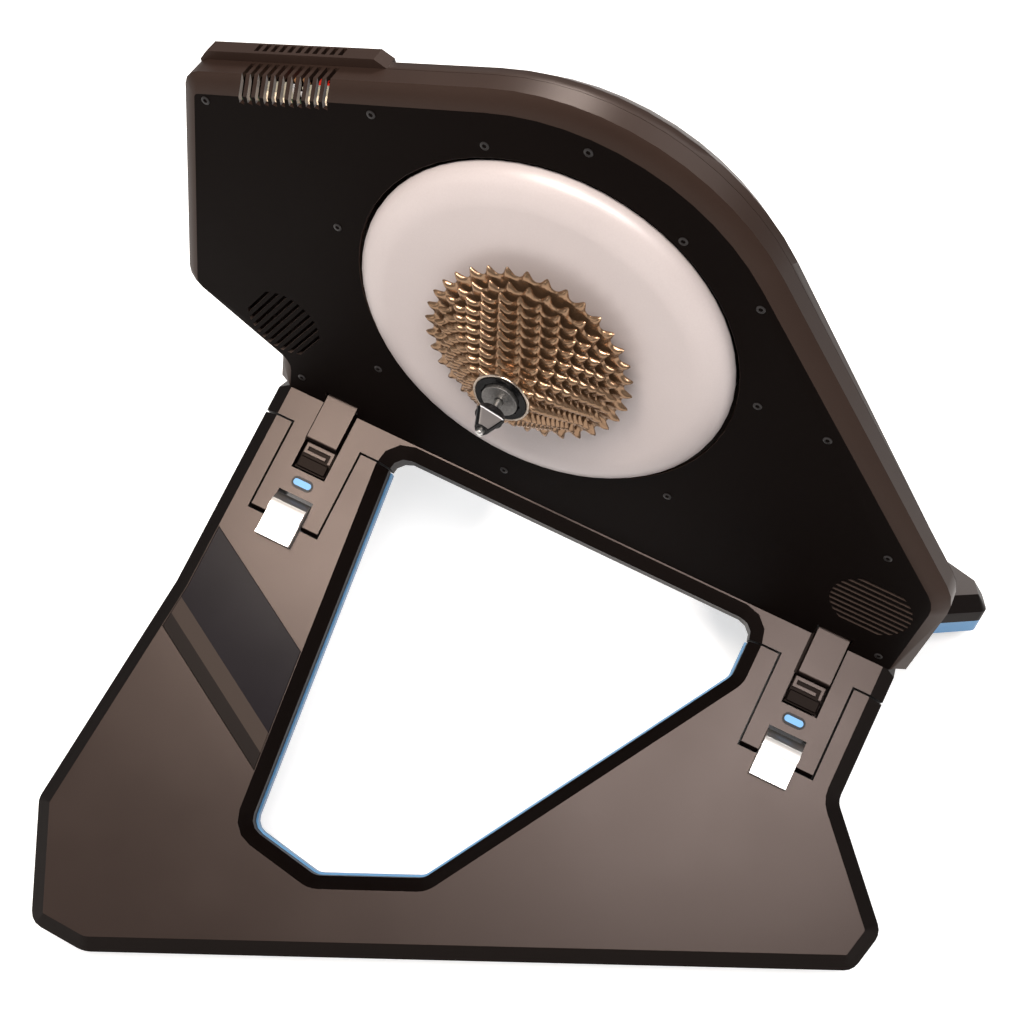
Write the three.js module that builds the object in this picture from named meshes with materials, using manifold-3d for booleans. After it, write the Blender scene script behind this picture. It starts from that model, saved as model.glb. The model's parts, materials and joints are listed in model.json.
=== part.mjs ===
// Direct drive bike trainer: a tall two-part housing with a spinning rotor disc and a
// bicycle cassette, standing on two wings that fold up on hinges beside the housing.
//
// Millimetres and degrees. The trainer stands on the plane z = 0 with +X to the bicycle's
// front, +Y to its left and +Z up. The drive side is -Y.
//
// The housing is drawn in a frame of its own: its origin lies on the axle, x runs along
// the wing hinges and y along the axle. That frame is turned by the hinge slope, because
// the hinges run down to the front when the trainer stands.

import * as THREE from 'three';
import { mergeVertices } from 'three/addons/utils/BufferGeometryUtils.js';
import Module from 'manifold-3d';

const wasm = await Module();
wasm.setup();

// General
const degree = Math.PI / 180;
const fit_gap = 0.3;
const running_gap = 0.3;
const side_gap = 0.5;
const cut_overrun = 5;
const weld_distance = 1e-4;
const smallest_radius = 0.4;
const corner_steps = 3;
const round_sides = 24;
const large_round_sides = 60;
const small_round_sides = 12;
const trainer_reach = 900;

// Stance
const hinge_slope = 11.65;
const wing_tilt = 26.15;
const hinge_half_width = 85.5;
const hinge_drop = 213.8;
const hinge_in = 8;
const hinge_depth = 5;
const ridge_in = hinge_half_width / Math.cos(wing_tilt * degree);
const sole_height = 8.5;

// Plate that the wings and the fixed skirts are cut from
const plate_thickness = 28;
const rim_width = 11;
const opening_rim_width = 9;
const rim_depth = 9;
const plate_rear = 184;
const plate_front = 307;
const plate_top = 125;
const plate_straight = 70;
const rear_flare = 15;
const rear_corner_out = 250;
const rear_chamfer_x = 37;
const rear_chamfer_out = 77;
const rear_toe_length = 43;
const bottom_edge_out = 272.5;
const front_foot_x = 362;
const front_foot_step = 7;
const front_foot_rise = 31;
const front_notch_out = 4;
const foot_corner_radius = 12.5;
const toe_radius = 22;

// Opening in the plate
const opening_rear_top = 83;
const opening_rear_low = 54.5;
const opening_rear_low_out = 201;
const opening_bottom_x = 3;
const opening_bottom_out = 210;
const opening_front_low = 72;
const opening_front_low_out = 178;
const opening_front_side = 205;
const opening_front_in = 43;
const opening_to_ridge = 12.25;
const opening_top_in = ridge_in - opening_to_ridge;
const opening_radius = 12;

// Liner of the opening
const liner_thickness = 7.7;
const liner_width = 14;
const liner_lip = 1.5;

// Stubs and hinges
const rear_hinge_x = -132;
const front_hinge_x = 256;
const stub_width = 54;
const stub_round = 6.5;
const seam_gap = 1.5;
const tines_to_ridge = 25.25;
const tine_in = ridge_in - tines_to_ridge;
const wing_edge_gap = 1;
const hinge_pin_radius = 2.5;
const hinge_pin_inset = 1.5;
const knuckle_radius = 12.5;
const knuckle_width = 27;
const knuckle_slot_depth = 14.5;
const knuckle_leaf_out = 22;
const knuckle_leaf_in = 6;
const knuckle_leaf_top = 11;
const knuckle_leaf_bottom = 6;
const knuckle_lip_width = 2;
const knuckle_lip_height = 1.2;

// Release levers, measured up the slope from the hinge line
const lever_width = 24;
const lever_side_gap = 1.5;
const lever_rise = 6;
const lever_depth = 9;
const lever_stud_radius = 2;
const lever_stud_overlap = 6;
const lever_channel_depth = 16;
const lever_round = 2;
const tab_thickness = 4;
const tab_depth = 3.5;
const tab_ridge = 2;
const tab_ridge_height = 1.5;
const bend_to_ridge = 11.25;
const nose_to_ridge = 3.25;
const nose_past_ridge = 9.75;
const pivot_to_ridge = 15.25;
const right_lever = {
  tab_end: 42,
  low_end: 63,
  bend: ridge_in - bend_to_ridge,
  nose_start: ridge_in - nose_to_ridge,
  nose_end: ridge_in + nose_past_ridge,
  nose_floor: 3.5,
  pivot: ridge_in - pivot_to_ridge,
  pivot_depth: 4.5,
};
const left_lever = {
  tab_end: 29,
  low_end: 33,
  bend: 43,
  nose_start: 47,
  nose_end: 53,
  nose_floor: 0,
  pivot: 39,
  pivot_depth: 4,
};

// Lock marks
const mark_length = 14.6;
const mark_width = 6.4;
const mark_depth = 2;
const mark_rise = 0.5;
const mark_sides = 20;
const right_mark_in = 32;
const left_mark_to_ridge = 60.25;
const left_mark_in = ridge_in - left_mark_to_ridge;
const left_mark_side = 20;

// Inlays on the rear arms
const panel_angle = 29.7;
const panel_start_out = 15;
const panel_height = 83;
const inlay_depth = 1.2;
const inlay_margin = 0.8;
const inlay_reach = 130;

// Rubber feet
const sole_length = 58;
const sole_width = 22;
const sole_corner = 6;
const rear_sole_x = -136;
const rear_sole_out = 296;
const front_sole_x = 314;
const front_sole_out = 96;

// Housing
const crown_radius = 161;
const bevel_reach = 11;
const face_y = -2;
const bevel_y = 5.7;
const parting_y = 18.8;
const far_plateau_y = 26;
const far_face_y = 46;
const far_bevel_reach = 15;
const wall = 3.2;
const top_line_angle = 113.5;
const front_line_angle = 42.9;
const far_front_line_angle = 41.7;
const nose_x = 300.5;
const far_nose_inset = 3;
const nose_radius = 28;
const rear_x = 251;
const rear_top_radius = 4;
const rear_low_radius = 8;
const overhang_angle = 243.4;
const overhang_distance = 207.5;
const heel_x = 174;
const heel_radius = 14.5;
const housing_bottom = 225;
const crown_steps = 12;
const lever_notch_rise = 11.5;
const lever_notch_depth = 10;

// Vents
const slot_count = 11;
const slot_pitch = 5.6;
const slot_width = 3.2;
const slot_inset = 33.5;
const slot_floor_depth = 5;
const slot_height = 36;
const slot_end_y = 17;
const vent_block_rise = 5.8;
const vent_block_root = 18;
const vent_block_rear = 208;
const vent_block_front = 72;
const vent_block_chamfer = 7;
const vent_block_end_y = 30;
const far_slot_start_y = 21.5;
const far_slot_end_y = 28.5;
const grille_radius = 28.5;
const grille_pitch = 5.2;
const grille_slot = 2.4;
const grille_slots = 10;
const front_grille = [266, -116];
const rear_grille = [-182, -107];
const rear_grille_angle = 62;

// Rotor
const rotor_radius = 127.4;
const rotor_gap = 3;
const rotor_front_y = -14.5;
const rotor_edge_y = 1;
const rotor_edge_round = 23.4;
const rotor_flat_radius = rotor_radius - rotor_edge_round;
const rotor_skin = 3;
const rotor_bore = 19;
const rotor_arc_steps = 5;
const drum_back_y = 36;
const drum_ring = 11;
const drum_web = 5;
const drum_shoulder = 4;
const hub_bore = 21;
const hub_wall = 5;
const hub_back_y = 22;
const magnet_count = 20;
const magnet_depth = 3.5;
const magnet_backing = 1;
const magnet_start_y = 8;
const magnet_end_y = 32;
const magnet_share = 0.84;
const air_gap = 1;

// Axle and stator
const bearing_width = 6.5;
const front_bearing_y = -10.5;
const rear_bearing_y = 15;
const stator_front_y = 12;
const stator_back_y = 31;
const stator_tooth_count = 18;
const stator_tooth_length = 12.3;
const stator_yoke = 10;
const stator_tooth_share = 0.45;
const flange_front_y = 24;
const flange_back_y = 29;
const axle_radius = 10;
const axle_thin_radius = 8;
const axle_thin_y = -11.5;
const axle_far_radius = 14;
const axle_bore = 3;
const dropout_half_width = 67.5;
const end_cap_radius = 11.8;
const end_cap_length = 7.2;
const far_cap_length = 5;
const far_boss_radius = 27;
const far_boss_y = 53;

// Cassette
const chain_pitch = 12.7;
const sprocket_teeth = [34, 30, 27, 25, 23, 21, 19, 17, 15, 13, 11];
const sprocket_spacing = 3.74;
const sprocket_thickness = 1.6;
const first_sprocket_y = -25.4;
const tooth_height = 2.2;
const valley_depth = 3.9;
const valley_shoulder = 2.6;
const tip_half_share = 0.09;
const shoulder_share = 0.3;
const tooth_phase = -58.7;
const freehub_radius = 17.1;
const freehub_back_y = -12;
const freehub_end_y = -63.2;
const freehub_flange_radius = 21;
const freehub_flange_y = -16.5;
const spacer_ring = 4;
const spacer_sleeve = 1.3;
const lockring_radius = 17;
const lockring_flange = 1.5;
const lockring_bore = 12.6;
const lockring_neck = 14.4;
const lockring_neck_length = 5.2;
const lockring_notch_count = 12;
const lockring_notch = 1.6;
const lockring_notch_sides = 8;

// Quick release
const skewer_radius = 2.5;
const skewer_end_y = -96;
const nut_collar_y = -78.5;
const nut_shoulder_y = -82;
const nut_end_y = -93;
const nut_collar_radius = 9.2;
const nut_base_inradius = 6.8;
const nut_tip_inradius = 4;
const nut_corner_radius = 3;
const nut_sides = 3;
const nut_flat_angle = 78.3;
const cam_start_y = 73.5;
const cam_end_y = 83;
const cam_radius = 10;
const cam_slot = 10.6;
const cam_floor = 1.1;
const cam_pivot_y = 79.6;
const handle_barrel_radius = 4.6;
const handle_barrel_width = 10;
const handle_pin_radius = 2;
const handle_pin_length = 17;
const handle_neck_low = 10;
const handle_neck_drop = 1;
const handle_neck_high = 11;
const handle_neck_rise = 6.5;
const handle_start = 13.3;
const handle_overlap = 5;
const handle_width = 15;
const handle_tip_width = 18;
const handle_length = 64;
const handle_inner_y = 85;
const handle_outer_y = 91.5;
const handle_corner = 5;
const handle_angle = 143;

// Electronics
const board_y = 13;
const board_thickness = 1.6;
const board_near = 100;
const board_far = 190;
const board_to_crown = 11;
const board_height = 50;
const board_high = crown_radius - board_to_crown;
const board_low = board_high - board_height;
const board_edge = 4;
const post_radius = 3;
const part_count = 6;
const part_pitch = 13;
const part_width = 9;
const part_height = 18;
const part_depth = 8;
const part_inset = 2;
const part_strip = 2;
const red_part_length = 30;
const red_part_height = 6;
const socket_place = [-214, -52];
const socket_radius = 7;
const socket_bore = 3.2;
const socket_rise = 2.4;
const socket_length = 9;
const socket_floor = 3;

// Solids

// Turns a closed geometry into a solid with its faces pointing out.
function solidFrom(geometry) {
  const bare = geometry.clone();
  for (const name of Object.keys(bare.attributes)) {
    if (name !== 'position') bare.deleteAttribute(name);
  }
  const welded = mergeVertices(bare, weld_distance);
  const place = welded.attributes.position;
  const index = welded.index.array;
  const faces = [];
  const a = new THREE.Vector3();
  const b = new THREE.Vector3();
  const c = new THREE.Vector3();
  let volume = 0;
  for (let i = 0; i < index.length; i += 3) {
    const [p, q, r] = [index[i], index[i + 1], index[i + 2]];
    if (p === q || q === r || r === p) continue;
    faces.push([p, q, r]);
    a.fromBufferAttribute(place, p);
    b.fromBufferAttribute(place, q);
    c.fromBufferAttribute(place, r);
    volume += a.dot(b.cross(c));
  }
  const wound = faces.flatMap(([p, q, r]) => (volume < 0 ? [p, r, q] : [p, q, r]));
  const mesh = new wasm.Mesh({
    numProp: 3,
    vertProperties: new Float32Array(place.array),
    triVerts: new Uint32Array(wound),
  });
  return new wasm.Manifold(mesh);
}

function geometryFrom(solid) {
  const mesh = solid.getMesh();
  const geometry = new THREE.BufferGeometry();
  geometry.setAttribute('position', new THREE.BufferAttribute(new Float32Array(mesh.vertProperties), 3));
  geometry.setIndex(new THREE.BufferAttribute(new Uint32Array(mesh.triVerts), 1));
  geometry.computeVertexNormals();
  return geometry;
}

// The same solid, placed or mirrored by a matrix.
function moved(solid, matrix) {
  return solidFrom(geometryFrom(solid).applyMatrix4(matrix));
}

function joined(solids) {
  return solids.reduce((whole, next) => whole.add(next));
}

function without(solid, cuts) {
  return cuts.reduce((rest, cut) => rest.subtract(cut), solid);
}

function block(x0, x1, y0, y1, z0, z1) {
  const box = new THREE.BoxGeometry(x1 - x0, y1 - y0, z1 - z0);
  box.translate((x0 + x1) / 2, (y0 + y1) / 2, (z0 + z1) / 2);
  return solidFrom(box);
}

// A round bar along x, through a place in the y-z plane.
function barAlongX(radius, x0, x1, y, z, sides = small_round_sides) {
  const rod = new THREE.CylinderGeometry(radius, radius, x1 - x0, sides);
  rod.rotateZ(-Math.PI / 2);
  rod.translate((x0 + x1) / 2, y, z);
  return solidFrom(rod);
}

// A round bar along y, through a place in the x-z plane.
function barAlongY(radius, y0, y1, x = 0, z = 0, sides = round_sides) {
  const rod = new THREE.CylinderGeometry(radius, radius, y1 - y0, sides);
  rod.translate(x, (y0 + y1) / 2, z);
  return solidFrom(rod);
}

// A ring about the axle, from a closed profile of radius and y.
function turned(profile, sides = round_sides) {
  const points = [...profile, profile[0]].map(([radius, y]) => new THREE.Vector2(radius, y));
  return solidFrom(new THREE.LatheGeometry(points, sides));
}

function ring(inner, outer, y0, y1, sides = round_sides) {
  return turned([[inner, y0], [outer, y0], [outer, y1], [inner, y1]], sides);
}

// Outlines. Corners are [x, y, radius, steps] in anticlockwise order. A corner without
// steps stays sharp.

function roundedOutline(corners) {
  const points = [];
  const origin = new THREE.Vector2();
  corners.forEach(([x, y, radius, steps = corner_steps], i) => {
    const corner = new THREE.Vector2(x, y);
    if (steps === 0) {
      points.push(corner);
      return;
    }
    const before = corners.at(i - 1);
    const after = corners[(i + 1) % corners.length];
    const back = new THREE.Vector2(before[0], before[1]).sub(corner).normalize();
    const ahead = new THREE.Vector2(after[0], after[1]).sub(corner).normalize();
    const half = Math.acos(THREE.MathUtils.clamp(back.dot(ahead), -1, 1)) / 2;
    const bend = Math.max(radius, smallest_radius);
    const centre = back.clone().add(ahead).normalize().multiplyScalar(bend / Math.sin(half)).add(corner);
    const start = back.clone().multiplyScalar(bend / Math.tan(half)).add(corner).sub(centre);
    const end = ahead.clone().multiplyScalar(bend / Math.tan(half)).add(corner).sub(centre);
    const sweep = Math.atan2(start.cross(end), start.dot(end));
    for (let k = 0; k <= steps; k += 1) {
      points.push(start.clone().rotateAround(origin, (sweep * k) / steps).add(centre));
    }
  });
  return points;
}

function side(angle, reach) {
  return { normal: new THREE.Vector2(Math.cos(angle * degree), Math.sin(angle * degree)), reach };
}

function meeting(one, two) {
  const scale = one.normal.cross(two.normal);
  const x = (one.reach * two.normal.y - two.reach * one.normal.y) / scale;
  const y = (two.reach * one.normal.x - one.reach * two.normal.x) / scale;
  return [x, y];
}

// Moves every side of an outline outwards and keeps its round corners concentric.
function grown(corners, distance) {
  const count = corners.length;
  const sides = corners.map(([x, y], i) => {
    const [nx, ny] = corners[(i + 1) % count];
    const normal = new THREE.Vector2(ny - y, x - nx).normalize();
    return { normal, reach: normal.x * x + normal.y * y + distance };
  });
  return corners.map(([, , radius, steps], i) => {
    const before = sides.at(i - 1);
    const [x, y] = meeting(before, sides[i]);
    const outward = before.normal.cross(sides[i].normal) > 0;
    return [x, y, outward ? radius + distance : radius - distance, steps];
  });
}

// A solid through outlines with equal numbers of points, each at its own level along z.
function lofted(levels) {
  const count = levels[0].points.length;
  const last = (levels.length - 1) * count;
  const places = levels.flatMap(({ points, z }) => points.flatMap(({ x, y }) => [x, y, z]));
  const index = [];
  for (let low = 0; low < last; low += count) {
    for (let i = 0; i < count; i += 1) {
      const next = (i + 1) % count;
      const high = low + count;
      index.push(low + i, low + next, high + next, low + i, high + next, high + i);
    }
  }
  for (const [a, b, c] of THREE.ShapeUtils.triangulateShape(levels[0].points, [])) index.push(c, b, a);
  for (const [a, b, c] of THREE.ShapeUtils.triangulateShape(levels.at(-1).points, [])) {
    index.push(last + a, last + b, last + c);
  }
  const geometry = new THREE.BufferGeometry();
  geometry.setAttribute('position', new THREE.Float32BufferAttribute(places, 3));
  geometry.setIndex(index);
  return geometry;
}

function prism(corners, z0, z1) {
  const points = roundedOutline(corners);
  return solidFrom(lofted([{ points, z: z0 }, { points, z: z1 }]));
}

// The same, with outlines in the x-z plane and levels along y.
function sideLofted(levels) {
  const back_to_front = levels.map(({ corners, y }) => ({ points: roundedOutline(corners), z: -y })).reverse();
  const geometry = lofted(back_to_front);
  geometry.rotateX(Math.PI / 2);
  return solidFrom(geometry);
}

function sidePrism(corners, y0, y1) {
  return sideLofted([{ corners, y: y0 }, { corners, y: y1 }]);
}

// A prism along x, with its outline in the y-z plane.
function crossPrism(corners, x0, x1) {
  const points = roundedOutline(corners);
  const geometry = lofted([{ points, z: x0 }, { points, z: x1 }]);
  geometry.rotateY(Math.PI / 2);
  geometry.rotateX(Math.PI / 2);
  return solidFrom(geometry);
}

// Scene

const finishes = {
  black_shell: { color: 0x1c1716, roughness: 0.5, metalness: 0.1 },
  wing_paint: { color: 0x6f5f57, roughness: 0.5, metalness: 0.2 },
  blue_liner: { color: 0x4b91c7, roughness: 0.45, metalness: 0 },
  blue_mark: { color: 0x7dcdfa, roughness: 0.4, metalness: 0 },
  gloss_panel: { color: 0x17151a, roughness: 0.15, metalness: 0.1 },
  rotor_silver: { color: 0xc8bcb8, roughness: 0.4, metalness: 0.5 },
  bright_steel: { color: 0xd8d6d2, roughness: 0.25, metalness: 1 },
  dark_steel: { color: 0x55504d, roughness: 0.4, metalness: 1 },
  cassette_metal: { color: 0xb08d62, roughness: 0.25, metalness: 1 },
  black_metal: { color: 0x151516, roughness: 0.3, metalness: 0.8 },
  rubber: { color: 0x181818, roughness: 0.9, metalness: 0 },
  board_green: { color: 0x1d3b2a, roughness: 0.6, metalness: 0 },
  cream_part: { color: 0xe0cfae, roughness: 0.6, metalness: 0 },
  red_part: { color: 0xc02018, roughness: 0.5, metalness: 0 },
  magnet_grey: { color: 0x77777c, roughness: 0.4, metalness: 0.8 },
};

function addPiece(group, name, solid, finish) {
  const material = new THREE.MeshStandardMaterial({ ...finishes[finish], flatShading: true });
  const mesh = new THREE.Mesh(geometryFrom(solid), material);
  mesh.name = name;
  group.add(mesh);
}

const trainer = new THREE.Group();
trainer.name = 'direct_drive_bike_trainer';
const housing_frame = new THREE.Group();
housing_frame.rotation.y = hinge_slope * degree;
trainer.add(housing_frame);

// The wings are drawn in a frame on each side: x runs along the hinges, y up the slope
// towards the housing and z out of the wing's top face.
const right_frame = new THREE.Group();
right_frame.rotation.x = wing_tilt * degree;
right_frame.position.set(0, -hinge_half_width, -hinge_drop);
const left_frame = new THREE.Group();
left_frame.rotation.x = -wing_tilt * degree;
left_frame.position.set(0, hinge_half_width, -hinge_drop);
housing_frame.add(right_frame, left_frame);

// The bottom edge of a wing is level, at the height that the soles leave it.
const bottom_slope = Math.tan(hinge_slope * degree) / Math.sin(wing_tilt * degree);
const edge_drop = hinge_drop + bottom_edge_out * Math.sin(wing_tilt * degree)
  + plate_thickness * Math.cos(wing_tilt * degree);
housing_frame.position.z = edge_drop * Math.cos(hinge_slope * degree) + sole_height;
trainer.updateMatrixWorld(true);

const mirror = new THREE.Matrix4().makeScale(1, -1, 1);

// Adds a piece drawn for the right side, or its mirror image on the left.
function addOnSide(which, name, solid, finish) {
  if (which === 'right') addPiece(right_frame, `right_${name}`, solid, finish);
  else addPiece(left_frame, `left_${name}`, moved(solid, mirror), finish);
}

// Plates

function bottomOut(x) {
  return bottom_edge_out - bottom_slope * x;
}

const rear_low_x = -plate_rear - rear_flare;
const rear_toe_x = rear_low_x + rear_chamfer_x;
const rear_toe_end = rear_toe_x + rear_toe_length;
const front_tip_x = front_foot_x + front_foot_step;
const plate_corners = [
  [-plate_rear, plate_top, 0, 0],
  [-plate_rear, -plate_straight, 0, 0],
  [rear_low_x, -rear_corner_out, foot_corner_radius],
  [rear_toe_x, -rear_corner_out - rear_chamfer_out, foot_corner_radius],
  [rear_toe_end, -bottomOut(rear_toe_end), toe_radius],
  [front_foot_x, -bottomOut(front_foot_x), foot_corner_radius],
  [front_tip_x, -bottomOut(front_foot_x) + front_foot_rise, foot_corner_radius],
  [plate_front, -front_notch_out, foot_corner_radius],
  [plate_front, plate_top, 0, 0],
];

const opening_corners = [
  [-opening_rear_top, opening_top_in, opening_radius],
  [-opening_rear_low, -opening_rear_low_out, opening_radius],
  [opening_bottom_x, -opening_bottom_out, opening_radius],
  [opening_front_low, -opening_front_low_out, opening_radius],
  [opening_front_side, opening_front_in, opening_radius],
  [opening_front_side, opening_top_in, opening_radius],
];

const plate_low = -plate_thickness - cut_overrun;
const plate_clear = knuckle_leaf_top + cut_overrun;

function plateSolid() {
  const outline = roundedOutline(plate_corners);
  const top_outline = roundedOutline(grown(plate_corners, -rim_width));
  const body = solidFrom(lofted([
    { points: outline, z: -plate_thickness },
    { points: outline, z: -rim_depth },
    { points: top_outline, z: 0 },
  ]));
  const opening = roundedOutline(opening_corners);
  const mouth_grade = opening_rim_width / rim_depth;
  const mouth = roundedOutline(grown(opening_corners, mouth_grade * (rim_depth + cut_overrun)));
  const hole = solidFrom(lofted([
    { points: opening, z: plate_low },
    { points: opening, z: -rim_depth },
    { points: mouth, z: cut_overrun },
  ]));
  return body.subtract(hole);
}

// A block across the whole plate thickness.
function plateBlock(x0, x1, y0, y1, z0 = plate_low, z1 = plate_clear) {
  return block(x0, x1, y0, y1, z0, z1);
}

function onHinge(radius, half_length, x, sides = round_sides) {
  return barAlongX(radius, x - half_length, x + half_length, hinge_in, -hinge_depth, sides);
}

const hinges = [['rear', rear_hinge_x], ['front', front_hinge_x]];
const stub_half = stub_width / 2;
const pin_half = stub_half - hinge_pin_inset;
const knuckle_half = knuckle_width / 2;
const pin_hole_radius = hinge_pin_radius + running_gap;
const wing_end_y = hinge_in - stub_round - wing_edge_gap;

// The space that the stubs and the skirt leave to a wing.
const wing_cuts = [
  plateBlock(-trainer_reach, trainer_reach, tine_in, trainer_reach),
  ...hinges.map(([, x]) => plateBlock(
    x - stub_half - seam_gap,
    x + stub_half + seam_gap,
    wing_end_y,
    trainer_reach,
  )),
];

// Everything beyond the housing's middle plane, seen from a wing's frame.
const beyond_middle = moved(
  block(-trainer_reach, trainer_reach, -fit_gap / 2, trainer_reach, -trainer_reach, trainer_reach),
  right_frame.matrix.clone().invert(),
);

function leverPocket(x, lever) {
  const half = lever_width / 2 + lever_side_gap;
  return plateBlock(
    x - half,
    x + half,
    lever.tab_end - lever_side_gap,
    lever.nose_end + lever_side_gap,
    -lever_channel_depth,
  );
}

// The mark of a hinge, a bar with two round ends, or with a margin the seat for it. On the
// right it lies across the stub, on the left beside the lever.
function markSolid(which, hinge_x, margin = 0) {
  const turn = (2 * Math.PI) / mark_sides;
  const across = which === 'right';
  const x = across ? hinge_x : hinge_x + left_mark_side;
  const y = across ? right_mark_in : left_mark_in;
  const end_radius = mark_width / 2 + margin;
  const straight = (mark_length - mark_width) / 2;
  const points = [];
  for (let i = 0; i < mark_sides; i += 1) {
    const angle = turn / 2 + i * turn;
    const along = Math.cos(angle);
    const up = Math.sin(angle);
    const shift_x = across ? straight * Math.sign(along) : 0;
    const shift_y = across ? 0 : straight * Math.sign(up);
    points.push(new THREE.Vector2(x + shift_x + end_radius * along, y + shift_y + end_radius * up));
  }
  return solidFrom(lofted([
    { points, z: -mark_depth - margin },
    { points, z: margin > 0 ? cut_overrun : mark_rise },
  ]));
}

function leverPivot(radius, half_length, x, lever) {
  return barAlongX(radius, x - half_length, x + half_length, lever.pivot, -lever.pivot_depth);
}

const lever_stud_half = lever_width / 2 + lever_side_gap + lever_stud_overlap;
const lever_hole_radius = lever_stud_radius + running_gap;

function addSkirt(which, lever) {
  const zones = [plateBlock(-trainer_reach, trainer_reach, tine_in + seam_gap, trainer_reach)];
  const end_y = hinge_in - stub_round;
  for (const [, x] of hinges) {
    zones.push(plateBlock(x - stub_half, x + stub_half, hinge_in, trainer_reach));
    zones.push(plateBlock(x - stub_half, x + stub_half, end_y, trainer_reach, plate_low, -hinge_depth));
    zones.push(onHinge(stub_round, stub_half, x));
  }
  const cuts = [beyond_middle];
  for (const [, x] of hinges) {
    const slot_half = knuckle_half + side_gap;
    cuts.push(plateBlock(x - slot_half, x + slot_half, -cut_overrun, hinge_in + knuckle_slot_depth));
    cuts.push(onHinge(pin_hole_radius, stub_half + cut_overrun, x, small_round_sides));
    cuts.push(leverPocket(x, lever));
    cuts.push(leverPivot(lever_hole_radius, lever_stud_half + fit_gap, x, lever));
  }
  for (const [, x] of hinges) cuts.push(markSolid(which, x, fit_gap));
  addOnSide(which, 'skirt', without(plateSolid().intersect(joined(zones)), cuts), 'wing_paint');
  for (const [place, x] of hinges) {
    const pin = onHinge(hinge_pin_radius, pin_half, x, small_round_sides);
    addOnSide(which, `${place}_hinge_pin`, pin, 'dark_steel');
    addOnSide(which, `${place}_lock_mark`, markSolid(which, x), 'blue_mark');
  }
}

function leverSolid(x, lever) {
  const { tab_end, low_end, bend, nose_start, nose_end, nose_floor } = lever;
  const outline = [
    [tab_end, -tab_depth - tab_thickness, 0, 0],
    [low_end, -lever_depth, 0, 0],
    [bend, -lever_depth, 0, 0],
    [nose_start, nose_floor, 0, 0],
    [nose_end, nose_floor, 0, 0],
    [nose_end, lever_rise, lever_round],
    [low_end, lever_rise, lever_round],
    [low_end, -tab_depth, 0, 0],
    [tab_end + tab_ridge, -tab_depth, 0, 0],
    [tab_end + tab_ridge, -tab_depth + tab_ridge_height, 0, 0],
    [tab_end, -tab_depth + tab_ridge_height, 0, 0],
  ];
  const body = crossPrism(outline, x - lever_width / 2, x + lever_width / 2);
  return body.add(leverPivot(lever_stud_radius, lever_stud_half, x, lever));
}

function addLevers(which, lever) {
  for (const [place, x] of hinges) {
    addOnSide(which, `${place}_release_lever`, leverSolid(x, lever), 'black_shell');
  }
}

// Knuckles: a barrel round the pin with a leaf that lies in the wing.
function knuckleSolid(x) {
  const barrel = onHinge(knuckle_radius, knuckle_half, x);
  const leaf_end_y = hinge_in - knuckle_leaf_out;
  const leaf_top = knuckle_leaf_top - hinge_depth;
  const leaf = plateBlock(
    x - knuckle_half,
    x + knuckle_half,
    leaf_end_y,
    hinge_in + knuckle_leaf_in,
    -hinge_depth - knuckle_leaf_bottom,
    leaf_top,
  );
  const lip = plateBlock(
    x - knuckle_half,
    x + knuckle_half,
    leaf_end_y,
    leaf_end_y + knuckle_lip_width,
    -hinge_depth,
    leaf_top + knuckle_lip_height,
  );
  const hole = onHinge(pin_hole_radius, knuckle_width, x, small_round_sides);
  return joined([barrel, leaf, lip]).subtract(hole);
}

function knucklePocket(x) {
  const half = knuckle_half + fit_gap;
  const barrel = onHinge(knuckle_radius + fit_gap, half, x);
  const leaf = plateBlock(
    x - half,
    x + half,
    hinge_in - knuckle_leaf_out - fit_gap,
    hinge_in,
    -hinge_depth - knuckle_leaf_bottom - fit_gap,
  );
  return barrel.add(leaf);
}

// A slanted band across the rear arm, between two distances from the hinge line.
function armBand(out0, out1, margin, top) {
  const x0 = -plate_rear - cut_overrun;
  const x1 = x0 + inlay_reach;
  const start = -cut_overrun * Math.tan(panel_angle * degree);
  const stop = start + inlay_reach * Math.tan(panel_angle * degree);
  return prism([
    [x0, -out1 - start - margin, 0, 0],
    [x1, -out1 - stop - margin, 0, 0],
    [x1, -out0 - stop + margin, 0, 0],
    [x0, -out0 - start + margin, 0, 0],
  ], -inlay_depth - margin, top);
}

// The flat of the top face, inside its rims.
function topFlat(margin) {
  const flat = prism(grown(plate_corners, -rim_width - margin), plate_low, plate_clear);
  const mouth = grown(opening_corners, opening_rim_width + margin);
  return flat.subtract(prism(mouth, plate_low - cut_overrun, plate_clear + cut_overrun));
}

// The inlaid panel, or with a margin the seat for it.
function panelSolid(margin, top) {
  const band = armBand(panel_start_out, panel_start_out + panel_height, margin, top);
  return band.intersect(topFlat(inlay_margin - margin));
}

// A foot is an upright pad on the floor, cut off by the wing's bottom face.
function footSolid(x, out) {
  const centre = new THREE.Vector3(x, -out, -plate_thickness).applyMatrix4(right_frame.matrixWorld);
  const half_length = sole_length / 2;
  const half_width = sole_width / 2;
  const pad = prism([
    [centre.x - half_length, centre.y - half_width, sole_corner],
    [centre.x + half_length, centre.y - half_width, sole_corner],
    [centre.x + half_length, centre.y + half_width, sole_corner],
    [centre.x - half_length, centre.y + half_width, sole_corner],
  ], 0, centre.z + sole_length);
  const beside = moved(pad, right_frame.matrixWorld.clone().invert());
  const reach = trainer_reach;
  return beside.intersect(block(-reach, reach, -reach, reach, -reach, -plate_thickness - fit_gap));
}

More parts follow.
